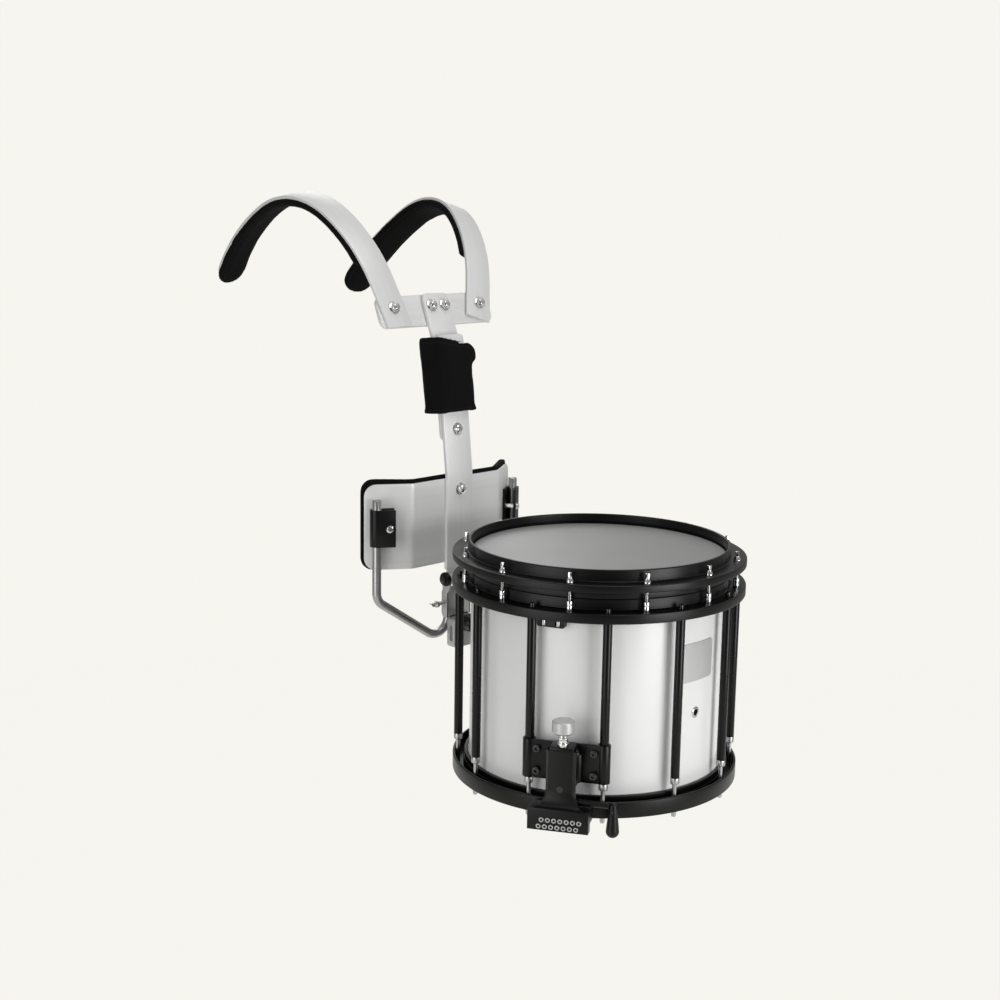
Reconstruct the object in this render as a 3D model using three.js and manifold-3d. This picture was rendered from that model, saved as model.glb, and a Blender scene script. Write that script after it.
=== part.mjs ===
import * as THREE from 'three';
import { mergeVertices } from 'three/addons/utils/BufferGeometryUtils.js';
import Module from 'manifold-3d';

// A marching snare drum on its shoulder carrier, in millimetres with +Z up.
// The player stands at +Y and looks along -Y, so -X is the player's right.
// The origin is the centre of the playing surface of the batter head.
// Heights are first measured from the lower face of the bottom hoop,
// and azimuths from the drum's front (-Y) towards the player's left (+X).

const wasm = await Module();
wasm.setup();

// Fits and facets
const gap = 0.3;
const overrun = 2;
const ringSegments = 48;
const weldTolerance = 1e-4;
const roundSides = 12;
const smallSides = 8;
const hexSides = 6;
const wireSides = 4;
const barrelSides = 16;
const sleeveSides = 20;
const quarterTurn = 90;

// Drum
const shellFoot = 11.5;
const drumDepth = 303.4;
const shellRadius = 177.7;
const shellWall = 7;
const bearingChamfer = 5;
const filmThickness = 0.8;
const filmCorner = 4.8;
const playingHeight = shellFoot + drumDepth + gap + filmThickness;
const fleshHoop = { width: 5.4, height: 7.5, batterDrop: 12, snareRise: 6 };
const lugCount = 12;
const lugSpacing = 360 / lugCount;

// Stand-offs of the hardware, out from the shell's face
const standOff = { rods: 13.9, tubes: 15.7, flanges: 26.5, buttJaw: 38.3, housing: 42.3, carrier: 101.8 };
const rodCircle = shellRadius + standOff.rods;
const tubeCircle = shellRadius + standOff.tubes;
const flangeOuter = shellRadius + standOff.flanges;
const headInner = shellRadius + gap;
const headOuter = headInner + filmThickness;
const fleshOuter = headOuter + fleshHoop.width;

// Hoops and the edge ring, down from the playing surface or up from the drum's foot
const topHoop = { rise: 14.4, wall: 4.4, lipHeight: 11.5, flangeDrop: 1.5, flangeHeight: 10, corner: 1.6 };
const topFlange = playingHeight - topHoop.flangeDrop;
const edgeRing = { drop: 24, wall: 6, wallHeight: 15, flangeHeight: 13.3, corner: 1.6 };
const edgeRingTop = playingHeight - edgeRing.drop;
const edgeFlangeTop = edgeRingTop - edgeRing.wallHeight;
const edgeFlangeBottom = edgeFlangeTop - edgeRing.flangeHeight;
const bottomHoop = {
  height: 22.2, outerWall: 3.6, web: 4.5, innerWall: 6.2, corner: 1.4, gateWidth: 62, gateHeight: 12.6,
};

// Lug tubes, one node each with its top screw and lower tension rod
const lugTube = {
  radius: 6.1, bottom: 37, rodRadius: 3, headRadius: 3.6,
  headDrop: 7, washerRadius: 5, washerHeight: 1.5, screwRadius: 2.5, screwHead: 4.4, screwRise: 2.6,
};

// Upper tension rods, with the washer, key head and barrel nut
const tensionRod = {
  radius: 2.7, washerRadius: 6, washerTop: 3.6, washerHeight: 3.8, headSide: 5.6, headHeight: 8.2,
  nutRadius: 4.2, nutHeight: 12.5, stubRadius: 3.2, holeClearance: 0.5,
};

// Shell furniture
const badge = { width: 70, height: 53, drop: 122, thickness: 0.9, corner: 6 };
const badgeMiddle = playingHeight - badge.drop;
const vent = { below: 44.5, flange: 7.6, flangeHeight: 1.2, body: 6, hole: 4.4, azimuths: [0, -120] };
const ventHeight = badgeMiddle - badge.height / 2 - vent.below;
const batterClamp = {
  bay: 2, width: 38, height: 11, depth: 11, corner: 3, tuck: 0.5, screw: 2.4, screwRise: 1.2, screwShare: 0.25,
};

// Clamps that hold a bracket to two neighbouring lug tubes
const sleeve = {
  wall: 2.4, plate: 4, plateSetback: 3.4, screwRadius: 5.2, screwHeight: 5, screwInset: 12, screwRowShare: 0.25,
};

// Snare strainer and butt
const strainer = {
  azimuth: -60, bottom: 47, top: 99.5, housingWidth: 33, housingTop: 101,
  housingBrow: 12, browRise: 10, browDepth: 4,
};
const housingFront = shellRadius + standOff.housing;
const arm = {
  wall: 3, width: 40, bottom: 40, top: 98, flareWidth: 81, flareReach: 10.7, flareBottom: 22,
  pinRadius: 2.6, pinRise: 1.6, pinDrop: 5, pinInset: 10, earMargin: 2, steps: 6,
};
const flareFront = housingFront + gap + arm.wall + arm.flareReach;
const snareClamp = {
  width: 81, clearance: 0.4, bottom: -9, top: 21.6, corner: 2.5,
  screwRadius: 2.8, screwDepth: 1.2, screwPitch: 8.3, screwRow: 7, rowSpacing: 9, rowSkew: 3.8, rowHeight: 7,
};
const clampBack = flangeOuter + snareClamp.clearance;
const knob = { radius: 15, height: 19, bottom: 116.5, neckRadius: 6.8, inset: 10, corner: 1.8, sides: 24 };
const knobCircle = housingFront - knob.inset;
const lever = {
  offset: 69, clearance: 1, shaftHeight: 27, shaftRadius: 4, drop: 43, topRadius: 5.4, bottomRadius: 8.8,
  shoulderAngle: 20, arcSteps: 5,
};
const leverCircle = flangeOuter + lever.clearance + lever.bottomRadius;
const strands = { count: 12, pitch: 4.6, radius: 1, drop: 1.4, barWidth: 57, barDepth: 5, barHeight: 3 };
const butt = { bottom: 47, top: 84, blockWidth: 66, blockBottom: 1, blockTop: 17, neck: 34 };
const buttFront = shellRadius + standOff.buttJaw;

// Carrier mount on the drum and the tilting foot
const mount = {
  bottom: 132, top: 186, armHalfWidth: 14, armBottom: 148, armTop: 170, armCorner: 4,
  boltRadius: 6.5, boltHeight: 6, boltBack: 20,
};
const spineFront = shellRadius + standOff.carrier;
const foot = { axleSetback: 0.5, axleZ: 226, axleRadius: 5, capRadius: 8.6, capHeight: 7.5, hexRise: 2.5 };
const axleY = spineFront + foot.axleSetback;
const tiltBracket = {
  halfWidth: 25, wall: 3, depth: 12.2, bottom: 165, cutRise: 7, neckZ: 204, webTop: 213,
  earRadius: 10, tongueHalfWidth: 20, tongueBottom: 126, shoulder: 4,
};
const tiltBlock = {
  halfWidth: 25, depth: 16.7, bottom: 120.5, top: 165.8, corner: 6, pocketDepth: 3.5, pocketWidth: 7,
  pocketHeight: 24, pocketInset: 10, pocketMiddle: 143,
};
const tiltScrew = {
  setback: 6.4, z: 188, radius: 3, tip: 17.6, length: 30, collarRadius: 5, collarHeight: 4,
  wingLength: 20, wingHeight: 9, wingThickness: 3,
};
const screwY = spineFront + tiltScrew.setback;

// Belly plate and the two flat bars of the spine, each height up from the axle or the part below it
const bar = { width: 52, thickness: 6, corner: 9, lean: 6.6, bendSteps: 5, easeLength: 30 };
const slotWidth = 9;
const rise = {
  spine: 2, plate: 25, knee: 6, clamp: 67, chest: 26, lowerSlot: 25, spineEnd: 44, yoke: 39, knuckleNeck: 14,
};
const bellyPlate = {
  flatHalfWidth: 90, wingLength: 72, wingAngle: 33.3, thickness: 4, height: 128, corner: 18,
};
const plateBottom = foot.axleZ + rise.plate;
const plateTop = plateBottom + bellyPlate.height;
const kneeHeight = plateTop + rise.knee;
const clampHeight = kneeHeight + rise.clamp;
const lowerSlot = { length: 71 };
const lowerSlotBottom = clampHeight + rise.lowerSlot;
const lowerSlotTop = lowerSlotBottom + lowerSlot.length;
const lowerSpineTop = lowerSlotTop + rise.spineEnd;
const knuckle = { radius: 9, halfWidth: 21.6 };
const upperSlot = { length: 61, drop: 8 };
const upperSlotBottom = clampHeight - upperSlot.drop;
const upperSpine = { endMargin: 9 };
const upperSpineBottom = upperSlotBottom - upperSpine.endMargin;
const bolt = { shank: 4, head: 7.2, headHeight: 5, washer: 8.6, washerHeight: 1.2, nut: 7, nutHeight: 3 };
const boltInset = 17;
const hiddenDrop = 7;

// Yoke: the cross bar and the shoulder straps, in a plane that leans back
const yoke = { setback: 58.5, lean: 22, boltOffset: 13, strapOffset: 87, plateTop: 22 };
const yokeY = spineFront + yoke.setback;
const yokeZ = lowerSpineTop + rise.yoke;
const crossBar = { halfLength: 113, drop: 28.5, rise: 19.5, thickness: 6, corner: 12 };
const strap = {
  width: 48, thickness: 5, tail: 25, straight: 40, rise: 130.6, crown: 137.5, fall: 178.5, steps: [5, 8, 6],
  tipSteps: 4, tipShare: 0.94,
};
const hooks = {
  right: { side: 1, swivel: 10.5, bends: [33, 60.7, 31.2] },
  left: { side: -1, swivel: 19.3, bends: [33.7, 66.3, 26.2] },
};
const shoulderPad = { width: 55, thickness: 10.5, start: 88, overhang: 8, lead: 5 };
const chestPad = {
  halfWidth: 32, height: 113, frontWall: 2.8, backWall: 20, headRoom: 7.6, nutRoom: 3.6, corner: 9,
  bulge: 1.6, splay: 6, flap: 10, fall: 13, cornerSteps: 3,
};

// Cushion sections as shares of the half width and of the thickness, from the backing to the crown
const cushionShares = [[0.95, 0], [1, 0.3], [0.96, 0.68], [0.84, 0.9], [0.5, 1]];
// The chest pad at shares of its height: its bulge, its splay and its flap
const chestShares = [
  [0, -0.4, 1, 0], [0.05, 0.4, 0.6, 0], [0.3, 1, 0.15, 0], [0.55, 1, 0, 0], [0.7, 0.9, 0, 0.05],
  [0.76, 0.8, 0, 0.75], [0.86, 0.6, 0, 1], [0.94, 0.3, 0, 0.8], [1, -0.6, 0, 0.1],
];

// The belly pad, the rod clamps and the two J rods
const bellyPad = { thickness: 11, margin: 5, lift: 3, cornerSteps: 4, endShare: 0.5 };
const jRod = {
  radius: 6.35, top: 358, alongWing: 55, cornerRadius: 22, hookRadius: 24, hookZ: 163, slope: 33.6,
  endX: 10, endSetback: 13.9, endZ: 196, arcSteps: 5, sides: 10,
};
const rodEndY = spineFront + jRod.endSetback;
const rodClamp = {
  wall: 3.5, bottom: 289, top: 344, ear: 27, boltAlong: 18, boltRadius: 3.5, headRadius: 6, headHeight: 4,
};

// Materials
function material(color, roughness, metalness) {
  return new THREE.MeshStandardMaterial({ color, roughness, metalness });
}
const blackCoat = material(0x1c1c1c, 0.35, 0.5);
const whiteWrap = material(0xe8e8e4, 0.15, 0);
const greyFilm = material(0x9a9a9a, 0.45, 0);
const clearFilm = material(0xd8d8d8, 0.3, 0);
const chrome = material(0xc8c8c8, 0.12, 1);
const brushed = material(0xc4c4c4, 0.4, 0.8);
const foam = material(0x141414, 0.95, 0);
const cordWhite = material(0xd0d0cc, 0.5, 0.2);

// Solids
function closedMesh(source) {
  const bare = source.clone();
  for (const name of ['normal', 'uv']) {
    if (bare.hasAttribute(name)) bare.deleteAttribute(name);
  }
  const welded = mergeVertices(bare, weldTolerance);
  const points = welded.attributes.position.array;
  const corners = welded.index.array;
  const kept = [];
  let volume = 0;
  for (let i = 0; i < corners.length; i += 3) {
    const [a, b, c] = [corners[i], corners[i + 1], corners[i + 2]];
    if (a === b || b === c || c === a) continue;
    kept.push(a, b, c);
    const [p, q, r] = [a, b, c].map((n) => new THREE.Vector3().fromArray(points, n * 3));
    volume += p.dot(q.cross(r));
  }
  if (volume < 0) kept.reverse();
  return { points, kept };
}

function solid(source) {
  const { points, kept } = closedMesh(source);
  const [vertProperties, triVerts] = [new Float32Array(points), new Uint32Array(kept)];
  return new wasm.Manifold(new wasm.Mesh({ numProp: 3, vertProperties, triVerts }));
}

function asGeometry(shape) {
  const mesh = shape.getMesh();
  const geometry = new THREE.BufferGeometry();
  geometry.setAttribute('position', new THREE.BufferAttribute(new Float32Array(mesh.vertProperties), 3));
  geometry.setIndex(Array.from(mesh.triVerts));
  geometry.computeVertexNormals();
  return geometry;
}

function piece(name, shape, look) {
  const mesh = new THREE.Mesh(asGeometry(shape), look);
  mesh.name = name;
  return mesh;
}

function joined(shapes) {
  return shapes.reduce((whole, next) => whole.add(next));
}

function radians(degrees) {
  return THREE.MathUtils.degToRad(degrees);
}

// A solid of revolution about Z from [radius, height] pairs
function turned(profile, segments = ringSegments) {
  const points = profile.map(([radius, height]) => new THREE.Vector2(radius, height));
  if (profile[0][0] > 0) points.push(points[0].clone());
  return solid(new THREE.LatheGeometry(points, segments).rotateX(Math.PI / 2));
}

// A cylinder along Z between two heights
function post(radius, bottom, top, sides = roundSides, x = 0, y = 0) {
  const length = top - bottom;
  const body = new THREE.CylinderGeometry(radius, radius, length, sides).rotateX(Math.PI / 2);
  return solid(body.translate(x, y, bottom + length / 2));
}

// A cylinder along X or Y between two places
function pin(axis, radius, from, to, at, sides = smallSides) {
  const length = to - from;
  const body = new THREE.CylinderGeometry(radius, radius, length, sides);
  if (axis === 'x') body.rotateZ(Math.PI / 2).translate(from + length / 2, at[0], at[1]);
  else body.translate(at[0], from + length / 2, at[1]);
  return solid(body);
}

function block(x0, x1, y0, y1, z0, z1) {
  const body = new THREE.BoxGeometry(x1 - x0, y1 - y0, z1 - z0);
  return solid(body.translate((x0 + x1) / 2, (y0 + y1) / 2, (z0 + z1) / 2));
}

function roundedOutline(x0, x1, y0, y1, radius) {
  const outline = new THREE.Shape();
  outline.moveTo(x0 + radius, y0);
  outline.lineTo(x1 - radius, y0);
  outline.absarc(x1 - radius, y0 + radius, radius, -Math.PI / 2, 0);
  outline.lineTo(x1, y1 - radius);
  outline.absarc(x1 - radius, y1 - radius, radius, 0, Math.PI / 2);
  outline.lineTo(x0 + radius, y1);
  outline.absarc(x0 + radius, y1 - radius, radius, Math.PI / 2, Math.PI);
  outline.lineTo(x0, y0 + radius);
  outline.absarc(x0 + radius, y0 + radius, radius, Math.PI, Math.PI * 1.5);
  return outline;
}

// The corners of a rounded rectangle as [x, y] points, the same number for each size
function roundedCorners(x0, x1, y0, y1, radius, steps) {
  const [left, right, low, high] = [x0 + radius, x1 - radius, y0 + radius, y1 - radius];
  const centres = [[right, low], [right, high], [left, high], [left, low]];
  return centres.flatMap((centre, i) => (
    arcPoints(centre, radius, (i - 1) * quarterTurn, i * quarterTurn, steps)));
}

function polygon(points) {
  return new THREE.Shape(points.map(([x, y]) => new THREE.Vector2(x, y)));
}

// An outline drawn in the plan (X, Y) and raised along Z
function raised(outline, bottom, top, curveSegments = 4) {
  const body = new THREE.ExtrudeGeometry(outline, { depth: top - bottom, bevelEnabled: false, curveSegments });
  return solid(body.translate(0, 0, bottom));
}

// An outline drawn in the front view (X, Z) and carried back along Y
function facing(outline, front, back, curveSegments = 4) {
  const body = new THREE.ExtrudeGeometry(outline, { depth: back - front, bevelEnabled: false, curveSegments });
  return solid(body.rotateX(Math.PI / 2).translate(0, back, 0));
}

// An outline drawn in the side view (Y, Z) and carried across along X
function across(outline, left, right, curveSegments = 4) {
  const body = new THREE.ExtrudeGeometry(outline, { depth: right - left, bevelEnabled: false, curveSegments });
  body.rotateX(Math.PI / 2).rotateZ(Math.PI / 2);
  return solid(body.translate(left, 0, 0));
}

// A solid through a row of closed sections with the same number of points
function lofted(sections) {
  const size = sections[0].length;
  const points = sections.flat();
  const corners = [];
  for (let i = 0; i + 1 < sections.length; i += 1) {
    for (let j = 0; j < size; j += 1) {
      const k = (j + 1) % size;
      const [a, b, c, d] = [i * size + j, i * size + k, (i + 1) * size + k, (i + 1) * size + j];
      corners.push(a, b, c, a, c, d);
    }
  }
  const last = (sections.length - 1) * size;
  for (let j = 1; j + 1 < size; j += 1) corners.push(0, j + 1, j, last, last + j, last + j + 1);
  const geometry = new THREE.BufferGeometry();
  geometry.setAttribute('position', new THREE.Float32BufferAttribute(points.flatMap((p) => p.toArray()), 3));
  geometry.setIndex(corners);
  return solid(geometry);
}

// Turned about Z to an azimuth and then placed
function turnedTo(shape, degrees) {
  return shape.rotate([0, 0, degrees]);
}

function ringOf(count, start, make) {
  return Array.from({ length: count }, (unused, i) => turnedTo(make(), start + (i * 360) / count));
}

function label(name, number) {
  return `${name}_${String(number).padStart(2, '0')}`;
}

// Points of a quarter turn between two directions, for rounded profile corners
function arcPoints(centre, radius, from, to, steps) {
  return Array.from({ length: steps + 1 }, (unused, i) => {
    const angle = radians(from + ((to - from) * i) / steps);
    return [centre[0] + radius * Math.cos(angle), centre[1] + radius * Math.sin(angle)];
  });
}

// Drum
const shellTop = playingHeight - filmThickness - gap;
const shellBottom = shellFoot;
const snarePlane = shellBottom - gap - filmThickness;
const firstLug = lugSpacing / 2;
const clampReach = batterClamp.width / 2 + lugTube.radius - batterClamp.tuck;
const clampTurn = THREE.MathUtils.radToDeg(Math.asin(clampReach / tubeCircle));
const batterClampAzimuth = clampTurn - firstLug - batterClamp.bay * lugSpacing;

function shell() {
  const inner = shellRadius - shellWall;
  const crown = headOuter - filmCorner - gap;
  let body = turned([
    [inner, shellBottom + bearingChamfer], [crown, shellBottom], [shellRadius, shellBottom + bearingChamfer],
    [shellRadius, shellTop - bearingChamfer], [crown, shellTop], [inner, shellTop - bearingChamfer],
  ]);
  for (const azimuth of vent.azimuths) {
    const bore = pin('y', vent.body + gap, -shellRadius - overrun, -inner + overrun, [0, ventHeight],
      roundSides);
    body = body.subtract(turnedTo(bore, azimuth));
  }
  return body;
}

// A head as one turned piece: the film, its folded collar and the flesh hoop
function head(plane, inward, collarLength) {
  const at = (depth) => plane - inward * depth;
  const outerBend = arcPoints([headOuter - filmCorner, filmCorner], filmCorner, -quarterTurn, 0, 2);
  const innerBend = arcPoints([headOuter - filmCorner, filmCorner], filmCorner - filmThickness,
    0, -quarterTurn, 2);
  const top = collarLength;
  const low = collarLength + fleshHoop.height;
  const profile = [
    [0, at(0)], ...outerBend.map(([r, d]) => [r, at(d)]),
    [headOuter, at(top)], [fleshOuter, at(top)], [fleshOuter, at(low)], [headInner, at(low)],
    ...innerBend.map(([r, d]) => [r, at(d)]), [0, at(filmThickness)],
  ];
  return turned(profile);
}

function topHoopRing() {
  const { corner } = topHoop;
  const top = playingHeight + topHoop.rise;
  const mouth = headInner;
  const wallOuter = mouth + topHoop.wall;
  const flangeTop = topFlange;
  const flangeBottom = topFlange - topHoop.flangeHeight;
  const inner = headOuter + gap;
  const lip = top - topHoop.lipHeight;
  const ring = turned([
    [mouth, top - corner], [mouth + corner, top], [wallOuter - corner, top], [wallOuter, top - corner],
    [wallOuter, flangeTop + corner], [wallOuter + corner, flangeTop], [flangeOuter - corner, flangeTop],
    [flangeOuter, flangeTop - corner], [flangeOuter, flangeBottom + corner],
    [flangeOuter - corner, flangeBottom],
    [inner, flangeBottom], [inner, lip - corner], [mouth, lip],
  ]);
  const hole = () => post(tensionRod.radius + tensionRod.holeClearance, flangeBottom - overrun,
    flangeTop + overrun, smallSides, 0, -rodCircle);
  return ring.subtract(joined(ringOf(lugCount, 0, hole)));
}

function edgeRingBody() {
  const { corner } = edgeRing;
  const wallOuter = headInner + edgeRing.wall;
  const wallTop = edgeRingTop;
  const flangeTop = edgeFlangeTop;
  const flangeBottom = edgeFlangeBottom;
  const outer = flangeOuter;
  const ring = turned([
    [headInner, flangeBottom], [outer - corner, flangeBottom], [outer, flangeBottom + corner],
    [outer, flangeTop - corner], [outer - corner, flangeTop], [wallOuter + corner, flangeTop],
    [wallOuter, flangeTop + corner], [wallOuter, wallTop - corner], [wallOuter - corner, wallTop],
    [headInner, wallTop],
  ]);
  const rodHole = () => post(tensionRod.stubRadius + gap, flangeBottom - overrun, flangeTop + overrun,
    smallSides, 0, -rodCircle);
  const screwHole = () => post(lugTube.screwRadius + gap, flangeBottom - overrun, flangeTop + overrun,
    smallSides, 0, -tubeCircle);
  return ring.subtract(joined([...ringOf(lugCount, 0, rodHole), ...ringOf(lugCount, firstLug, screwHole)]));
}

function bottomHoopRing() {
  const { height, outerWall, web, innerWall, corner, gateWidth, gateHeight } = bottomHoop;
  const outer = flangeOuter;
  const inner = headOuter + gap;
  const innerTop = snarePlane + fleshHoop.snareRise - gap;
  const ring = turned([
    [inner, 0], [outer - corner, 0], [outer, corner], [outer, height - corner], [outer - corner, height],
    [outer - outerWall, height], [outer - outerWall, web], [inner + innerWall, web],
    [inner + innerWall, innerTop], [inner, innerTop],
  ]);
  const rodHole = () => post(lugTube.rodRadius + gap + gap, -overrun, web + overrun, smallSides,
    0, -tubeCircle);
  const gate = block(-gateWidth / 2, gateWidth / 2, -outer - overrun, outer + overrun, -overrun, gateHeight);
  return ring.subtract(joined(ringOf(lugCount, firstLug, rodHole))).subtract(turnedTo(gate, strainer.azimuth));
}

function lugTubeBody() {
  const t = lugTube;
  const tubeTop = edgeFlangeBottom - gap;
  const screwSeat = edgeFlangeTop + gap;
  return turned([
    [0, -gap - t.washerHeight - t.headDrop], [t.headRadius, -gap - t.washerHeight - t.headDrop],
    [t.headRadius, -gap - t.washerHeight], [t.washerRadius, -gap - t.washerHeight], [t.washerRadius, -gap],
    [t.rodRadius, -gap], [t.rodRadius, t.bottom], [t.radius, t.bottom], [t.radius, tubeTop],
    [t.screwRadius, tubeTop], [t.screwRadius, screwSeat], [t.screwHead, screwSeat],
    [0, screwSeat + t.screwRise],
  ], smallSides).translate([0, -tubeCircle, 0]);
}

function tensionRodBody() {
  const t = tensionRod;
  const seat = topFlange + gap;
  const nutBottom = edgeFlangeTop + gap;
  const nutTop = nutBottom + t.nutHeight;
  const shaft = turned([
    [0, edgeFlangeBottom], [t.stubRadius, edgeFlangeBottom], [t.stubRadius, nutBottom],
    [t.nutRadius, nutBottom], [t.nutRadius, nutTop], [t.radius, nutTop],
    [t.radius, seat], [t.washerRadius, seat], [t.washerTop, seat + t.washerHeight], [0, seat + t.washerHeight],
  ], smallSides);
  const side = t.headSide / 2;
  const headSeat = seat + t.washerHeight;
  const keyHead = block(-side, side, -side, side, headSeat - gap, headSeat + t.headHeight);
  return shaft.add(keyHead).translate([0, -rodCircle, 0]);
}

function badgePlate() {
  const inner = shellRadius + gap;
  const half = badge.width / 2;
  const band = turned([
    [inner, badgeMiddle - badge.height], [inner + badge.thickness, badgeMiddle - badge.height],
    [inner + badge.thickness, badgeMiddle + badge.height], [inner, badgeMiddle + badge.height],
  ]);
  const outline = roundedOutline(-half, half, badgeMiddle - badge.height / 2, badgeMiddle + badge.height / 2,
    badge.corner);
  return band.intersect(facing(outline, -inner - badge.thickness - overrun, 0));
}

function ventGrommet() {
  const seat = shellRadius + gap;
  const inner = shellRadius - shellWall;
  const length = seat - inner;
  return turned([
    [vent.hole, -length], [vent.body, -length], [vent.body, 0], [vent.flange, 0],
    [vent.flange - gap, vent.flangeHeight], [vent.hole, vent.flangeHeight],
  ], roundSides).rotate([quarterTurn, 0, 0]).translate([0, -seat, ventHeight]);
}

function batterClampBody() {
  const c = batterClamp;
  const top = edgeFlangeBottom - gap;
  const back = headInner + gap;
  const outline = roundedOutline(-c.width / 2, c.width / 2, top - c.height, top, c.corner);
  const body = facing(outline, -back - c.depth, -back);
  const screws = [-1, 1].map((side) => pin('y', c.screw, -back - c.depth - c.screwRise, -back,
    [side * c.width * c.screwShare, top - c.height / 2], smallSides));
  return joined([body, ...screws]);
}

// A bracket clamped round two lug tubes, in a frame whose -Y points outward
const tubeX = tubeCircle * Math.sin(radians(firstLug));
const tubeY = -tubeCircle * Math.cos(radians(firstLug));
const sleeveOuter = lugTube.radius + gap + sleeve.wall;
const plateFront = tubeY - sleeve.plateSetback - sleeve.plate;

function tubeBracket(bottom, top) {
  const sleeves = [-1, 1].map((side) => post(sleeveOuter, bottom, top, roundSides, side * tubeX, tubeY));
  const bores = [-1, 1].map((side) => post(lugTube.radius + gap, bottom - overrun, top + overrun, roundSides,
    side * tubeX, tubeY));
  const plate = block(-tubeX, tubeX, plateFront, plateFront + sleeve.plate, bottom, top);
  const inset = (top - bottom) * sleeve.screwRowShare;
  const heights = [bottom + inset, top - inset];
  const screws = [-1, 1].flatMap((side) => heights.map((z) => pin('y', sleeve.screwRadius,
    plateFront - sleeve.screwHeight, plateFront + sleeve.plate / 2, [side * (tubeX - sleeve.screwInset), z])));
  return joined([plate, ...sleeves, ...screws]).subtract(joined(bores));
}

// The strainer's fixed frame with the housing that guides the arm
const housingHalf = strainer.housingWidth / 2;

function strainerFrame() {
  const s = strainer;
  const side = polygon([
    [plateFront + gap, s.bottom], [-housingFront, s.bottom], [-housingFront, s.housingTop - s.housingBrow],
    [-housingFront + s.browDepth, s.housingTop - s.housingBrow + s.browRise],
    [plateFront + gap, s.housingTop],
  ]);
  const [holeBottom, holeTop] = [s.bottom - overrun, s.housingTop + overrun];
  const neckHole = post(knob.neckRadius + gap, holeBottom, holeTop, roundSides, 0, -knobCircle);
  return tubeBracket(s.bottom, s.top).add(across(side, -housingHalf, housingHalf)).subtract(neckHole);
}

// The arm: a cover round the housing that flares out to the snare clamp
function strainerArm() {
  const inner = housingHalf + gap;
  const front = -housingFront - gap;
  const outerHalf = arm.width / 2;
  const outerFront = front - arm.wall;
  const back = plateFront - sleeve.screwHeight / 2;
  const cover = block(-outerHalf, outerHalf, outerFront, back, arm.bottom, arm.top)
    .subtract(block(-inner, inner, front, back + overrun, arm.bottom - overrun, arm.top + overrun));
  const sections = Array.from({ length: arm.steps + 1 }, (unused, i) => {
    const turn = (i / arm.steps) * (Math.PI / 2);
    const spread = 1 - Math.cos(turn);
    const half = outerHalf + (arm.flareWidth / 2 - outerHalf) * spread;
    const reach = outerFront - arm.flareReach * spread;
    const z = arm.bottom + overrun / 2 + (arm.flareBottom - arm.bottom - overrun / 2) * Math.sin(turn);
    return [
      new THREE.Vector3(-half, reach, z), new THREE.Vector3(half, reach, z),
      new THREE.Vector3(half, reach + arm.wall, z), new THREE.Vector3(-half, reach + arm.wall, z),
    ];
  });
  const pins = [-1, 1].map((side) => pin('x', arm.pinRadius, side < 0 ? -outerHalf - arm.pinRise : inner + gap,
    side < 0 ? -inner - gap : outerHalf + arm.pinRise, [outerFront + arm.pinInset, arm.top - arm.pinDrop]));
  const earReach = lever.shaftRadius + arm.earMargin;
  const ear = block(outerHalf - overrun, arm.flareWidth / 2, -flareFront + arm.wall / 2,
    -leverCircle + earReach, arm.flareBottom, lever.shaftHeight + earReach);
  const earHole = pin('x', lever.shaftRadius + gap, outerHalf + overrun, arm.flareWidth,
    [-leverCircle, lever.shaftHeight], roundSides);
  const windowBottom = arm.top - arm.pinDrop;
  const window = block(-inner, inner, outerFront - overrun, front + overrun, windowBottom, arm.top + overrun);
  return joined([cover, lofted(sections), ...pins, ear]).subtract(earHole).subtract(window);
}

function snareClampBody() {
  const c = snareClamp;
  const outline = roundedOutline(-flareFront, -clampBack, c.bottom, c.top, c.corner);
  let body = across(outline, -c.width / 2, c.width / 2, 2);
  const middle = (c.bottom + c.top) / 2 - c.rowHeight / 2;
  for (let i = 0; i < c.screwRow; i += 1) {
    const x = (i - (c.screwRow - 1) / 2) * c.screwPitch;
    for (const row of [-1, 1]) {
      body = body.add(pin('y', c.screwRadius, -flareFront - c.screwDepth, -flareFront + c.screwDepth,
        [x + (row * c.rowSkew) / 2, middle + (row * c.rowSpacing) / 2], hexSides));
    }
  }
  return body;
}

function strainerKnob() {
  const top = knob.bottom + knob.height;
  const neckBottom = strainer.bottom + (strainer.top - strainer.bottom) / 2;
  return turned([
    [0, neckBottom], [knob.neckRadius, neckBottom], [knob.neckRadius, knob.bottom],
    [knob.radius - knob.corner, knob.bottom], [knob.radius, knob.bottom + knob.corner],
    [knob.radius, top - knob.corner], [knob.radius - knob.corner, top], [0, top],
  ], knob.sides).translate([0, -knobCircle, 0]);
}

function throwOffLever() {
  const v = lever;
  const tip = v.shaftHeight - v.drop;
  const arc = arcPoints([0, tip + v.bottomRadius], v.bottomRadius, -quarterTurn, v.shoulderAngle, v.arcSteps);
  const bulb = arc.map(([radius, z]) => [Math.max(radius, 0), z]);
  const blade = turned([
    ...bulb, [v.topRadius, v.shaftHeight], [0, v.shaftHeight + v.shaftRadius],
  ], roundSides).translate([v.offset, -leverCircle, 0]);
  const shaft = pin('x', v.shaftRadius, arm.width / 2 + overrun + gap, v.offset, [-leverCircle, v.shaftHeight]);
  return blade.add(shaft);
}

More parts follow.
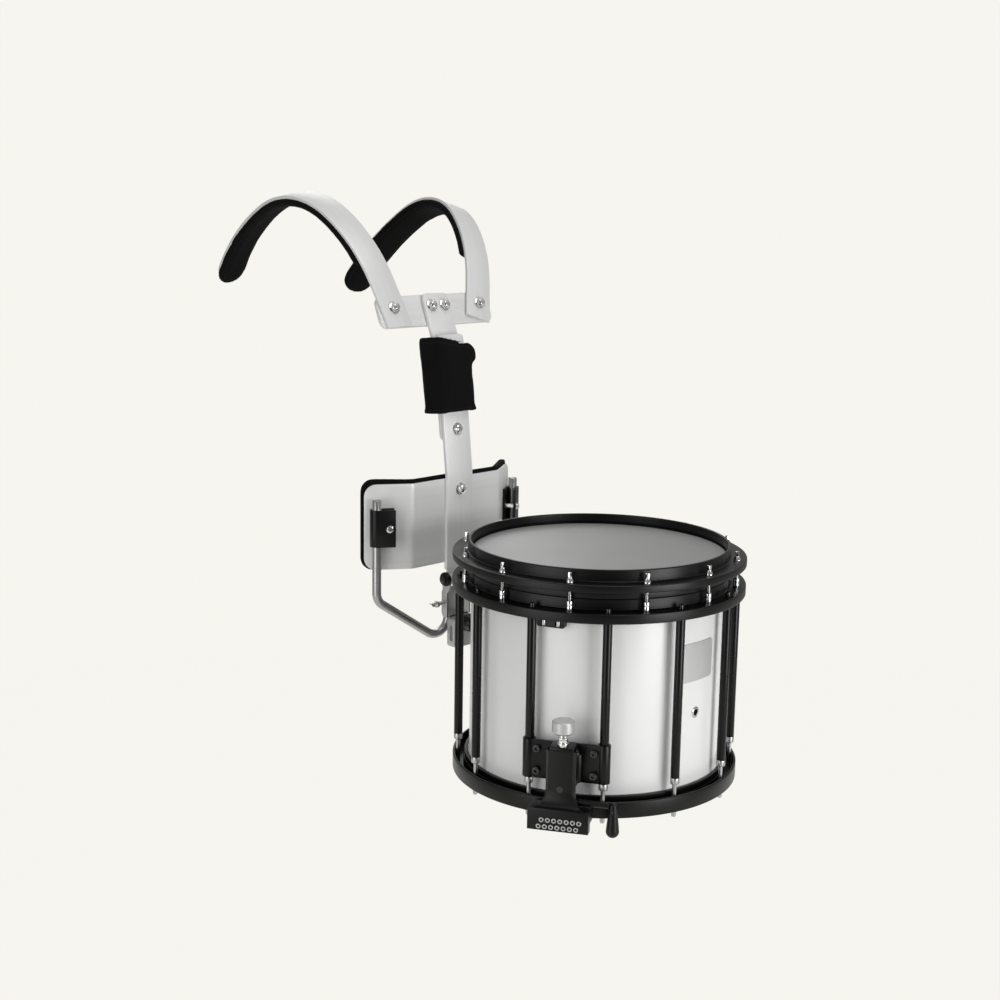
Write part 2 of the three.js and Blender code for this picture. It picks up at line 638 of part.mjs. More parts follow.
// Twelve strands between two end bars that meet the clamp and the butt
function snareStrands() {
  const z = snarePlane - strands.drop;
  const reach = clampBack - gap;
  const bars = [-1, 1].map((side) => {
    const [near, far] = [side * reach, side * (reach - strands.barDepth)];
    return block(-strands.barWidth / 2, strands.barWidth / 2, Math.min(near, far), Math.max(near, far),
      z - strands.barHeight / 2 - strands.radius / 2, z + strands.barHeight / 2 - strands.radius / 2);
  });
  const wires = Array.from({ length: strands.count }, (unused, i) => {
    const x = (i - (strands.count - 1) / 2) * strands.pitch;
    const half = reach - strands.barDepth / 2;
    return pin('y', strands.radius, -half, half, [x, z], wireSides);
  });
  return joined([...bars, ...wires]);
}

function buttBracket() {
  const b = butt;
  const back = -clampBack;
  const bridgeTop = b.bottom + sleeve.plate;
  const half = b.blockWidth / 2;
  const outline = roundedOutline(-half, half, b.blockBottom, b.blockTop, snareClamp.corner);
  const jaw = facing(outline, -buttFront, back);
  const neckHalf = b.neck / 2;
  const plateBack = -buttFront + sleeve.plate;
  const neck = block(-neckHalf, neckHalf, -buttFront, plateBack, b.blockTop - overrun, bridgeTop);
  const bridge = block(-neckHalf, neckHalf, -buttFront, plateFront + gap, b.bottom + gap, bridgeTop);
  return joined([tubeBracket(b.bottom, b.top), jaw, neck, bridge]);
}

// The drum's half of the carrier mount, in the same outward frame
function mountBracket() {
  const m = mount;
  const reach = spineFront - gap - tiltBlock.depth - gap;
  const outline = roundedOutline(-m.armHalfWidth, m.armHalfWidth, m.armBottom, m.armTop, m.armCorner);
  const beam = facing(outline, -reach, plateFront + gap);
  const at = [-reach + m.boltBack, (m.armBottom + m.armTop) / 2];
  const head1 = pin('x', m.boltRadius, m.armHalfWidth - overrun, m.armHalfWidth + m.boltHeight, at, hexSides);
  const head2 = pin('x', m.boltRadius, -m.armHalfWidth - m.boltHeight, -m.armHalfWidth + overrun, at, hexSides);
  return joined([tubeBracket(m.bottom, m.top), beam, head1, head2]);
}

function tiltBracketBody() {
  const t = tiltBracket;
  const front = spineFront;
  const back = front + t.depth;
  const ear = arcPoints([axleY, foot.axleZ], t.earRadius, 0, quarterTurn + quarterTurn, smallSides);
  const cheekOutline = polygon([
    [front, t.bottom], [back - t.wall, t.bottom], [back, t.bottom + t.cutRise], [back, t.neckZ],
    [axleY + t.earRadius, t.neckZ + t.shoulder], ...ear, [front - t.wall, t.neckZ + t.wall], [front, t.neckZ],
  ]);
  const cheek = across(cheekOutline, t.halfWidth - t.wall, t.halfWidth);
  const web = block(-t.halfWidth, t.halfWidth, front, front + t.wall, t.bottom, t.webTop);
  const tongueHalf = t.tongueHalfWidth;
  const tongue = block(-tongueHalf, tongueHalf, front, front + t.wall, t.tongueBottom, t.bottom + overrun);
  const axleHole = pin('x', foot.axleRadius + gap, -t.halfWidth - overrun, t.halfWidth + overrun,
    [axleY, foot.axleZ], roundSides);
  const screwHole = pin('x', tiltScrew.radius + gap, -t.halfWidth - overrun, -t.halfWidth + t.wall + overrun,
    [screwY, tiltScrew.z]);
  return joined([cheek, cheek.mirror([1, 0, 0]), web, tongue]).subtract(axleHole).subtract(screwHole);
}

function tiltBlockBody() {
  const t = tiltBlock;
  const back = spineFront - gap;
  const outline = roundedOutline(-t.halfWidth, t.halfWidth, t.bottom, t.top - gap, t.corner);
  const pocketMiddle = back - t.pocketInset;
  const pocket = roundedOutline(pocketMiddle - t.pocketWidth / 2, pocketMiddle + t.pocketWidth / 2,
    t.pocketMiddle - t.pocketHeight / 2, t.pocketMiddle + t.pocketHeight / 2, t.pocketWidth / 2 - gap);
  return facing(outline, back - t.depth, back)
    .subtract(across(pocket, -t.halfWidth - overrun, -t.halfWidth + t.pocketDepth))
    .subtract(across(pocket, t.halfWidth - t.pocketDepth, t.halfWidth + overrun));
}

function tiltAxle() {
  const half = tiltBracket.halfWidth + gap;
  const at = [axleY, foot.axleZ];
  const end = half + foot.capHeight;
  const rod = pin('x', foot.axleRadius, -end - foot.hexRise, end + foot.hexRise, at, roundSides);
  const cap = pin('x', foot.capRadius, half, end, at, barrelSides);
  return joined([rod, cap, cap.mirror([1, 0, 0])]);
}

function tiltScrewBody() {
  const t = tiltScrew;
  const at = [screwY, t.z];
  const end = -t.tip - t.length;
  const shaft = pin('x', t.radius, end, -t.tip, at);
  const collar = pin('x', t.collarRadius, end + t.wingHeight, end + t.wingHeight + t.collarHeight, at);
  const wing = block(end, end + t.wingHeight, screwY - t.wingLength / 2, screwY + t.wingLength / 2,
    t.z - t.wingThickness / 2, t.z + t.wingThickness / 2);
  return joined([shaft, collar, wing]);
}

// Side view of a flat bar from a front line given as [y, z] points
function barProfile(frontLine, thickness) {
  const normals = frontLine.map((point, i) => {
    const a = frontLine[Math.max(i - 1, 0)];
    const b = frontLine[Math.min(i + 1, frontLine.length - 1)];
    const along = new THREE.Vector2(b[0] - a[0], b[1] - a[1]).normalize();
    return [along.y, -along.x];
  });
  const backLine = frontLine.map(([y, z], i) => [y + normals[i][0] * thickness, z + normals[i][1] * thickness]);
  return polygon([...frontLine, ...backLine.reverse()]);
}

const leanRun = Math.tan(radians(bar.lean));
const lowerFrontAt = (z) => spineFront + Math.max(z - kneeHeight, 0) * leanRun;
const upperFrontAt = (z) => lowerFrontAt(z) + (bar.thickness + gap) / Math.cos(radians(bar.lean));

// A bolt square to a bar: its head bears on the front and its shank runs back to a depth
function boltThrough(depth, front, z, lean, lift = 0) {
  const headFront = -lift - bolt.washerHeight - bolt.headHeight;
  const shank = pin('y', bolt.shank, headFront + bolt.washerHeight, depth, [0, 0]);
  const washer = pin('y', bolt.washer, -lift - bolt.washerHeight, -lift, [0, 0], roundSides);
  const head = pin('y', bolt.head, headFront, -lift - bolt.washerHeight, [0, 0], hexSides);
  return joined([shank, washer, head]).rotate([-lean, 0, 0]).translate([0, front, z]);
}

function slotThrough(bottom, top, front, back) {
  const half = slotWidth / 2;
  return facing(roundedOutline(-half, half, bottom, top, half - gap), front, back);
}

function lowerSpineBar() {
  const bottom = foot.axleZ + rise.spine;
  const neckTop = foot.axleZ + rise.knuckleNeck;
  const half = bar.width / 2;
  const depth = bar.width + bar.width;
  const [before, behind] = [spineFront - depth, spineFront + depth];
  const line = [[spineFront, bottom], [spineFront, kneeHeight], [lowerFrontAt(lowerSpineTop), lowerSpineTop]];
  const outline = roundedOutline(-half, half, bottom - bar.width, lowerSpineTop, bar.corner);
  const cheek = block(knuckle.halfWidth, bar.width, before, behind, bottom - bar.width, neckTop);
  let body = across(barProfile(line, bar.thickness), -half, half).intersect(facing(outline, before, behind));
  body = body.subtract(cheek).subtract(cheek.mirror([1, 0, 0]));
  const barrel = pin('x', knuckle.radius, -knuckle.halfWidth, knuckle.halfWidth, [axleY, foot.axleZ],
    barrelSides);
  const axleHole = pin('x', foot.axleRadius + gap, -bar.width, bar.width, [axleY, foot.axleZ], roundSides);
  body = body.add(barrel).subtract(axleHole);
  body = body.subtract(slotThrough(lowerSlotBottom, lowerSlotTop, before, behind));
  const clampDepth = bar.thickness + gap + bar.thickness + gap;
  const clampFront = lowerFrontAt(clampHeight);
  const nut = pin('y', bolt.nut, clampDepth, clampDepth + bolt.nutHeight, [0, 0], hexSides)
    .rotate([-bar.lean, 0, 0]).translate([0, clampFront, clampHeight]);
  body = joined([body, boltThrough(clampDepth + gap, clampFront, clampHeight, bar.lean), nut]);
  for (const z of [plateTop - boltInset, plateBottom + boltInset]) {
    body = body.add(boltThrough(bar.thickness + bellyPlate.thickness, spineFront, z, 0));
  }
  return body;
}

// Upper spine: straight behind the lower bar, then leaning with the yoke
const yokeRun = Math.tan(radians(yoke.lean));
const plateFrontShift = (bar.thickness + gap) / Math.cos(radians(yoke.lean));
const yokePlateFrontAt = (z) => yokeY + (z - yokeZ) * yokeRun - plateFrontShift;

function upperSpineBar() {
  const bottom = upperSpineBottom;
  const half = bar.width / 2;
  const straight = upperFrontAt(bottom);
  const meetingZ = (yokePlateFrontAt(0) - straight + bottom * leanRun) / (leanRun - yokeRun);
  const meetingY = yokePlateFrontAt(meetingZ);
  const plateTopZ = yokeZ + yoke.plateTop * Math.cos(radians(yoke.lean));
  const line = [[straight, bottom]];
  for (let i = 0; i <= bar.bendSteps; i += 1) {
    const t = i / bar.bendSteps;
    const [before, after] = [meetingZ - bar.easeLength / 2, meetingZ + bar.easeLength / 2];
    const y0 = straight + (before - bottom) * leanRun;
    const y2 = yokePlateFrontAt(after);
    line.push([
      (1 - t) * (1 - t) * y0 + 2 * t * (1 - t) * meetingY + t * t * y2,
      (1 - t) * (1 - t) * before + 2 * t * (1 - t) * meetingZ + t * t * after,
    ]);
  }
  line.push([yokePlateFrontAt(plateTopZ), plateTopZ]);
  const profile = across(barProfile(line, bar.thickness), -half, half);
  const depth = bar.width + bar.width;
  const outline = roundedOutline(-half, half, bottom, plateTopZ, bar.corner);
  let body = profile.intersect(facing(outline, meetingY - depth, meetingY + depth));
  const slotTop = upperSlotBottom + upperSlot.length;
  body = body.subtract(slotThrough(upperSlotBottom, slotTop, meetingY - depth, meetingY + depth));
  const hiddenDepth = bar.thickness + gap + bar.thickness / 2;
  const hiddenHeight = lowerSlotTop - hiddenDrop;
  body = body.add(boltThrough(hiddenDepth, lowerFrontAt(hiddenHeight), hiddenHeight, bar.lean, gap));
  for (const side of [-1, 1]) {
    const hole = pin('y', bolt.shank + gap, -bar.width, bar.width, [side * yoke.boltOffset, 0], roundSides);
    body = body.subtract(inYoke(hole));
  }
  return body;
}

// From the yoke's own plane to the carrier: the plane's front face is at y 0
function inYoke(shape) {
  return shape.rotate([-yoke.lean, 0, 0]).translate([0, yokeY, yokeZ]);
}

function crossBarBody() {
  const c = crossBar;
  const outline = roundedOutline(-c.halfLength, c.halfLength, -c.drop, c.rise, c.corner);
  let body = facing(outline, 0, c.thickness);
  const places = [-yoke.strapOffset, -yoke.boltOffset, yoke.boltOffset, yoke.strapOffset];
  for (const x of places) {
    const layer = Math.abs(x) === yoke.strapOffset ? strap.thickness : bar.thickness;
    const front = -gap - layer - gap;
    body = joined([
      body, pin('y', bolt.shank, front, c.thickness / 2, [x, 0]),
      pin('y', bolt.washer, front - bolt.washerHeight, front, [x, 0], smallSides),
      pin('y', bolt.head, front - bolt.washerHeight - bolt.headHeight, front - bolt.washerHeight, [x, 0],
        hexSides),
    ]);
  }
  return inYoke(body);
}

// The hook of a strap in its own plane: x across, y back and z up from the pivot bolt
function hookStations(bends) {
  const stations = [-strap.tail, strap.straight].map((run) => ({ y: 0, z: run, turn: 0, run }));
  let { y, z, turn, run } = stations[1];
  [strap.rise, strap.crown, strap.fall].forEach((length, n) => {
    const step = length / strap.steps[n];
    const bend = bends[n] / strap.steps[n];
    for (let i = 0; i < strap.steps[n]; i += 1) {
      const heading = radians(turn + bend / 2);
      y += step * Math.sin(heading);
      z += step * Math.cos(heading);
      turn += bend;
      run += step;
      stations.push({ y, z, turn, run });
    }
  });
  return stations;
}

// The section of a flat band, and that of a cushion with drawn-in sides and a crown
function stripSection(half, thickness) {
  return [[half, 0], [half, thickness], [-half, thickness], [-half, 0]];
}

function cushionSection(half, thickness) {
  const right = cushionShares.map(([w, t]) => [w * half, t * thickness]);
  const left = right.map(([x, t]) => [-x, t]).reverse();
  return [...right, ...left];
}

// A band that follows the hook, raised to one side of it, with a rounded tip
function hookBand(bends, section, width, thickness, base, start, overhang, lead) {
  const all = hookStations(bends);
  const stations = all.filter((s) => s.run >= start + lead);
  const last = stations[stations.length - 1];
  const half = width / 2;
  const tipRun = last.run + overhang;
  const straightOn = (run) => {
    const extra = run - last.run;
    const heading = radians(last.turn);
    const [y, z] = [last.y + extra * Math.sin(heading), last.z + extra * Math.cos(heading)];
    return { y, z, turn: last.turn, run };
  };
  const body = stations.filter((s) => s.run < tipRun - half);
  const rounded = Array.from({ length: strap.tipSteps + 1 }, (unused, i) => {
    const angle = (i / strap.tipSteps) * (Math.PI / 2) * strap.tipShare;
    return half * Math.cos(angle);
  });
  const onHook = (run) => {
    const next = all.findIndex((s) => s.run >= run);
    if (next < 1) return straightOn(run);
    const [a, b] = [all[next - 1], all[next]];
    const t = (run - a.run) / (b.run - a.run);
    return { y: a.y + (b.y - a.y) * t, z: a.z + (b.z - a.z) * t, turn: a.turn + (b.turn - a.turn) * t, run };
  };
  const tip = rounded.map((w) => ({
    ...onHook(tipRun - half + Math.sqrt(half * half - w * w)), half: w, share: lead ? (half + w) / width : 1,
  }));
  const first = lead ? [{ ...onHook(start), share: 1 / 2 }, onHook(start + lead)] : [];
  return lofted([...first, ...body, ...tip].map((s) => {
    const heading = radians(s.turn);
    const [ny, nz] = [-Math.cos(heading), Math.sin(heading)];
    return section(s.half ?? half, thickness * (s.share ?? 1)).map(([x, t]) => {
      const off = base + t;
      return new THREE.Vector3(x, s.y + ny * off, s.z + nz * off);
    });
  }));
}

function ontoYoke(shape, hook) {
  const turned = shape.rotate([0, -hook.side * hook.swivel, 0]);
  return inYoke(turned.translate([-hook.side * yoke.strapOffset, 0, 0]));
}

function strapBody(hook) {
  const hole = pin('y', bolt.shank + gap, -bar.width, bar.width, [0, 0], roundSides);
  const band = hookBand(hook.bends, stripSection, strap.width, strap.thickness, gap, -strap.tail, 0, 0);
  return ontoYoke(band.subtract(hole), hook);
}

function shoulderPadBody(hook) {
  const p = shoulderPad;
  const band = hookBand(hook.bends, cushionSection, p.width, -p.thickness, 0, p.start, p.overhang, p.lead);
  return ontoYoke(band, hook);
}

// The padded sleeve round both bars, open above and below
function chestPadBody() {
  const c = chestPad;
  const inner = bar.width / 2 + gap;
  const bottom = clampHeight + rise.chest;
  const backAt = (z) => Math.max(upperFrontAt(z), yokePlateFrontAt(z)) + bar.thickness + c.nutRoom;
  const ends = [bottom, bottom + c.height].map((z) => (
    { z, front: lowerFrontAt(z) - c.headRoom, back: backAt(z) }));
  const section = ({ z, front, back }) => [
    new THREE.Vector3(-inner, front, z), new THREE.Vector3(inner, front, z),
    new THREE.Vector3(inner, back, z), new THREE.Vector3(-inner, back, z),
  ];
  const rounded = ([share, bulge, splay, flap]) => {
    const mix = (key) => ends[0][key] + (ends[1][key] - ends[0][key]) * share;
    const swell = bulge * c.bulge;
    const half = c.halfWidth + swell + splay * c.splay;
    const [y0, y1] = [mix('front') - c.frontWall - swell, mix('back') + c.backWall + swell];
    const outline = roundedCorners(-half, half + flap * c.flap, y0, y1, c.corner, c.cornerSteps);
    const drop = (x, y) => (y - y0) * leanRun + (c.fall * share * (x + half)) / (half + half);
    return outline.map(([x, y]) => new THREE.Vector3(x, y, mix('z') - drop(x, y)));
  };
  const grow = (end, by) => ({ z: end.z + by, front: end.front + by * leanRun, back: end.back + by * leanRun });
  const hollow = lofted([grow(ends[0], -c.corner), ...ends, grow(ends[1], overrun)].map(section));
  return lofted(chestShares.map(rounded)).subtract(hollow);
}

// Plan of the belly plate: a flat middle and two wings bent back towards the player
function bellyPlan(front, thickness, flat, wing) {
  const [c, s] = [Math.cos(radians(bellyPlate.wingAngle)), Math.sin(radians(bellyPlate.wingAngle))];
  const backShift = thickness * Math.tan(radians(bellyPlate.wingAngle / 2));
  const tip = [flat + wing * c, front + wing * s];
  const tipBack = [tip[0] - thickness * s, tip[1] + thickness * c];
  const right = [[flat, front], tip, tipBack, [flat - backShift, front + thickness]];
  const left = right.map(([x, y]) => [-x, y]).reverse();
  return polygon([...right, ...left]);
}

const plateY = spineFront + bar.thickness + gap;

function bellyPart(front, thickness, flat, wing, bottom, top) {
  const reach = flat + wing * Math.cos(radians(bellyPlate.wingAngle));
  const outline = roundedOutline(-reach, reach, bottom, top, bellyPlate.corner);
  return raised(bellyPlan(front, thickness, flat, wing), bottom, top)
    .intersect(facing(outline, front - reach, front + reach));
}

function bellyPlateBody() {
  const b = bellyPlate;
  let body = bellyPart(plateY, b.thickness, b.flatHalfWidth, b.wingLength, plateBottom, plateTop);
  for (const z of [plateTop - boltInset, plateBottom + boltInset]) {
    body = body.subtract(pin('y', bolt.shank + gap, plateY - overrun, plateY + b.thickness + overrun, [0, z]));
  }
  return body;
}

// A point of the bent plan: across from the middle, and towards the player from the plate's front
function bentPoint(across, offset, z) {
  const flat = bellyPlate.flatHalfWidth;
  const angle = radians(bellyPlate.wingAngle);
  const side = Math.sign(across);
  const over = Math.abs(across) - flat;
  if (over < -gap) return new THREE.Vector3(across, plateY + offset, z);
  if (over < gap) return new THREE.Vector3(side * (flat - offset * Math.tan(angle / 2)), plateY + offset, z);
  const x = flat + over * Math.cos(angle) - offset * Math.sin(angle);
  return new THREE.Vector3(side * x, plateY + over * Math.sin(angle) + offset * Math.cos(angle), z);
}

function bellyPadBody() {
  const b = bellyPlate;
  const p = bellyPad;
  const end = b.flatHalfWidth + b.wingLength + p.margin;
  const half = b.height / 2 + p.margin;
  const middle = (plateTop + plateBottom) / 2 + p.lift;
  const inset = end - b.corner;
  const wing = [{ across: b.flatHalfWidth, half, share: 1 }];
  for (let i = 0; i <= p.cornerSteps; i += 1) {
    const turn = (i / p.cornerSteps) * (Math.PI / 2);
    const share = p.endShare + (1 - p.endShare) * Math.sqrt(Math.cos(turn));
    const inward = b.corner * (1 - Math.cos(turn));
    wing.push({ across: inset + b.corner * Math.sin(turn), half: half - inward, share });
  }
  const other = wing.map((s) => ({ ...s, across: -s.across })).reverse();
  return lofted([...other, { across: 0, half, share: 1 }, ...wing].map((s) => (
    cushionSection(s.half, p.thickness * s.share).map(([u, t]) => (
      bentPoint(s.across, b.thickness + gap + t, middle + u)))
  )));
}

// The rod clamp in the wing's frame: x along the wing from the crease, y towards the player
const rodStand = jRod.radius + gap + rodClamp.wall + gap;

function inWing(shape, side) {
  const placed = shape.rotate([0, 0, bellyPlate.wingAngle]).translate([bellyPlate.flatHalfWidth, plateY, 0]);
  return side > 0 ? placed : placed.mirror([1, 0, 0]);
}

function rodClampBody(side) {
  const c = rodClamp;
  const inner = jRod.radius + gap;
  const outer = inner + c.wall;
  const x = jRod.alongWing;
  const y = -rodStand;
  const body = joined([
    post(outer, c.bottom, c.top, sleeveSides, x, y),
    block(x - c.ear, x, y - outer, y + outer, c.bottom, c.top),
  ]).subtract(joined([
    post(inner, c.bottom - overrun, c.top + overrun, sleeveSides, x, y),
    block(x - c.ear - overrun, x, y - inner, y + inner, c.bottom - overrun, c.top + overrun),
  ]));
  const middle = (c.bottom + c.top) / 2;
  const boltX = x - c.boltAlong;
  const shank = pin('y', c.boltRadius, y - outer, y + outer, [boltX, middle]);
  const headBolt = pin('y', c.headRadius, y - outer - c.headHeight, y - outer + c.wall / 2, [boltX, middle]);
  return inWing(joined([body, shank, headBolt]), side);
}

// A J rod: down from its clamp, inward and down, then hooked up into the tilt bracket
const wingDirection = [Math.cos(radians(bellyPlate.wingAngle)), Math.sin(radians(bellyPlate.wingAngle))];
const rodX = bellyPlate.flatHalfWidth + jRod.alongWing * wingDirection[0] + rodStand * wingDirection[1];
const rodY = plateY + jRod.alongWing * wingDirection[1] - rodStand * wingDirection[0];

function jRodPath() {
  const reach = Math.hypot(rodX - jRod.endX, rodY - rodEndY);
  const hookU = reach - jRod.hookRadius;
  const slope = radians(jRod.slope);
  const hook = arcPoints([hookU, jRod.hookZ], jRod.hookRadius, -quarterTurn - jRod.slope, 0, 2 * jRod.arcSteps);
  const cornerZ = hook[0][1] + hook[0][0] * Math.tan(slope);
  const cornerRun = jRod.cornerRadius * Math.tan((Math.PI / 2 - slope) / 2);
  const bend = arcPoints([jRod.cornerRadius, cornerZ + cornerRun], jRod.cornerRadius,
    2 * quarterTurn, 3 * quarterTurn - jRod.slope, jRod.arcSteps);
  return [[0, jRod.top], ...bend, ...hook, [reach, jRod.endZ]];
}

function jRodBody(side) {
  const path = jRodPath();
  const directions = path.map((point, i) => {
    const a = path[Math.max(i - 1, 0)];
    const b = path[Math.min(i + 1, path.length - 1)];
    return new THREE.Vector2(b[0] - a[0], b[1] - a[1]).normalize();
  });
  const sections = path.map(([u, z], i) => Array.from({ length: jRod.sides }, (unused, j) => {
    const angle = (j / jRod.sides) * Math.PI * 2;
    const normal = directions[i];
    const off = jRod.radius * Math.cos(angle);
    return new THREE.Vector3(u - normal.y * off, jRod.radius * Math.sin(angle), z + normal.x * off);
  }));
  const heading = THREE.MathUtils.radToDeg(Math.atan2(rodY - rodEndY, rodX - jRod.endX));
  const placed = lofted(sections).rotate([0, 0, 2 * quarterTurn + heading]).translate([rodX, rodY, 0]);
  return side > 0 ? placed : placed.mirror([1, 0, 0]);
}

// Assembly
const instrument = new THREE.Group();
instrument.position.z = -playingHeight;

function add(name, shape, look, azimuth = 0) {
  instrument.add(piece(name, azimuth ? turnedTo(shape, azimuth) : shape, look));
}

add('shell', shell(), whiteWrap);
add('batter_head', head(playingHeight, 1, fleshHoop.batterDrop), greyFilm);
add('snare_head', head(snarePlane, -1, fleshHoop.snareRise), clearFilm);
add('top_hoop', topHoopRing(), blackCoat);
add('edge_ring', edgeRingBody(), blackCoat);
add('bottom_hoop', bottomHoopRing(), blackCoat);
for (let i = 0; i < lugCount; i += 1) {
  add(label('lug_tube', i + 1), lugTubeBody(), blackCoat, firstLug + i * lugSpacing);
  add(label('tension_rod', i + 1), tensionRodBody(), chrome, i * lugSpacing);
}
add('badge', badgePlate(), brushed);
vent.azimuths.forEach((azimuth, i) => add(label('vent_grommet', i + 1), ventGrommet(), chrome, azimuth));
add('batter_clamp', batterClampBody(), blackCoat, batterClampAzimuth);

add('strainer_frame', strainerFrame(), blackCoat, strainer.azimuth);
add('strainer_arm', strainerArm(), blackCoat, strainer.azimuth);
add('snare_clamp', snareClampBody(), blackCoat, strainer.azimuth);
add('strainer_knob', strainerKnob(), brushed, strainer.azimuth);
add('throw_off_lever', throwOffLever(), blackCoat, strainer.azimuth);
add('snare_strands', snareStrands(), cordWhite, strainer.azimuth);
add('butt_bracket', buttBracket(), blackCoat, strainer.azimuth + 180);

add('mount_bracket', mountBracket(), blackCoat, 180);
add('tilt_bracket', tiltBracketBody(), brushed);
add('tilt_block', tiltBlockBody(), brushed);
add('tilt_axle', tiltAxle(), blackCoat);
add('tilt_screw', tiltScrewBody(), chrome);

add('lower_spine', lowerSpineBar(), brushed);
add('upper_spine', upperSpineBar(), brushed);
add('cross_bar', crossBarBody(), brushed);
add('chest_pad', chestPadBody(), foam);
add('belly_plate', bellyPlateBody(), brushed);
add('belly_pad', bellyPadBody(), foam);
for (const [hand, hook] of Object.entries(hooks)) {
  add(`shoulder_strap_${hand}`, strapBody(hook), brushed);
  add(`shoulder_pad_${hand}`, shoulderPadBody(hook), foam);
  add(`rod_clamp_${hand}`, rodClampBody(-hook.side), blackCoat);
  add(`j_rod_${hand}`, jRodBody(-hook.side), chrome);
}

export default instrument;
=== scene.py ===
import math

import bmesh
import bpy
from mathutils import Matrix, Vector
from mathutils.bvhtree import BVHTree


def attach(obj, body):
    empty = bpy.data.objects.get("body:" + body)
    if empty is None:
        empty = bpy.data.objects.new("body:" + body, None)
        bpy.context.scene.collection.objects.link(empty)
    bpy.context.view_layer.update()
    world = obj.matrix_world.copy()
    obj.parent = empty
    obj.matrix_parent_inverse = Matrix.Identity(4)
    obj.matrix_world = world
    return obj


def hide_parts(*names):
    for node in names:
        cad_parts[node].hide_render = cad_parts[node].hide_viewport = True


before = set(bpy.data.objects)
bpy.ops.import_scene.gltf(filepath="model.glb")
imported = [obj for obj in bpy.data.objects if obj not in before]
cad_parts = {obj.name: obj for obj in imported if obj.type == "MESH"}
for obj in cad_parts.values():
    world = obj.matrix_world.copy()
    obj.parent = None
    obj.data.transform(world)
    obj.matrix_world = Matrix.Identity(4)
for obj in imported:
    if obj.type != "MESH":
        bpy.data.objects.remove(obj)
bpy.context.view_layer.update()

# Everything is drawn in millimetres above the lower face of the bottom hoop, as the CAD source is,
# and moved to the row's frame, whose origin is the playing surface, when a piece is made.
H = 316.0
TO_ROW = Matrix.Scale(0.001, 4) @ Matrix.Translation((0, 0, -H))


# ---------------------------------------------------------------- materials
SHADER = dict(base="Base Color", rough="Roughness", metal="Metallic", spec="Specular IOR Level", coat="Coat Weight",
              coat_rough="Coat Roughness", sheen="Sheen Weight", sheen_rough="Sheen Roughness", normal="Normal",
              aniso="Anisotropic")


def fill(tree, socket, v):
    """Gives a socket a link, or its own value. A plain number fills a colour as a grey."""
    if isinstance(v, bpy.types.NodeSocket):
        tree.links.new(v, socket)
    elif socket.type == "RGBA":
        socket.default_value = (v, v, v, 1) if isinstance(v, (int, float)) else (*v, 1)
    else:
        socket.default_value = v


def add_node(tree, kind, inputs=None, **props):
    n = tree.nodes.new(kind)
    for k, v in props.items():
        setattr(n, k, v)
    for k, v in (inputs or {}).items():
        fill(tree, n.inputs[k], v)
    return n


class Nodes:
    """A material, with short ways to add its nodes."""

    def __init__(self, name):
        self.mat = bpy.data.materials.new(name)
        self.mat.use_nodes = True
        self.tree = self.mat.node_tree
        self.bsdf = self.tree.nodes["Principled BSDF"]

    def add(self, kind, inputs=None, **props):
        return add_node(self.tree, kind, inputs, **props)

    def set(self, **values):
        for k, v in values.items():
            fill(self.tree, self.bsdf.inputs[SHADER[k]], v)
        return self.mat

    def scaled(self, vec, scale):
        return self.add("ShaderNodeMapping", {"Vector": vec, "Scale": scale}).outputs[0]

    def coords(self, scale=(1, 1, 1), kind="Object"):
        return self.scaled(self.add("ShaderNodeTexCoord").outputs[kind], scale)

    def noise(self, vec, scale, detail=4, rough=0.5):
        inputs = {"Vector": vec, "Scale": scale, "Detail": detail, "Roughness": rough}
        return self.add("ShaderNodeTexNoise", inputs).outputs[0]

    def ramp(self, fac, low, high, a=0.0, b=1.0):
        inputs = {"Value": fac, "From Min": a, "From Max": b, "To Min": low, "To Max": high}
        return self.add("ShaderNodeMapRange", inputs).outputs[0]

    def mix(self, fac, a, b):
        return self.add("ShaderNodeMix", {0: fac, 6: a, 7: b}, data_type="RGBA").outputs[2]

    def math(self, op, a, b=0.5):
        return self.add("ShaderNodeMath", {0: a, 1: b}, operation=op).outputs[0]

    def bump(self, height, strength, distance, normal=None):
        inputs = {"Height": height, "Strength": strength, "Distance": distance}
        if normal:
            inputs["Normal"] = normal
        return self.add("ShaderNodeBump", inputs).outputs[0]


def black_anodised(name, base=0.002, rough=0.34, spec=0.25, worn_to=0.03):
    """Satin black coat: fine grain, slow change of gloss, and a few lighter rubbed flecks."""
    m = Nodes(name)
    v = m.coords()
    worn = m.ramp(m.noise(v, 160, 5, 0.7), 0, 0.3, 0.62, 0.8)
    return m.set(base=m.mix(worn, base, worn_to), rough=m.ramp(m.noise(v, 14, 3), rough - 0.05, rough + 0.06),
                 spec=spec, normal=m.bump(m.noise(v, 900, 2), 0.1, 0.0002))


def bright_plating(name, base=0.78, rough=0.08):
    m = Nodes(name)
    v = m.coords()
    fog = m.noise(v, 60, 4)
    return m.set(base=m.mix(m.ramp(fog, 0, 0.35, 0.35, 0.8), base, base * 0.8), metal=1.0,
                 rough=m.ramp(fog, rough, rough + 0.1), normal=m.bump(m.noise(v, 700, 2), 0.05, 0.0002))


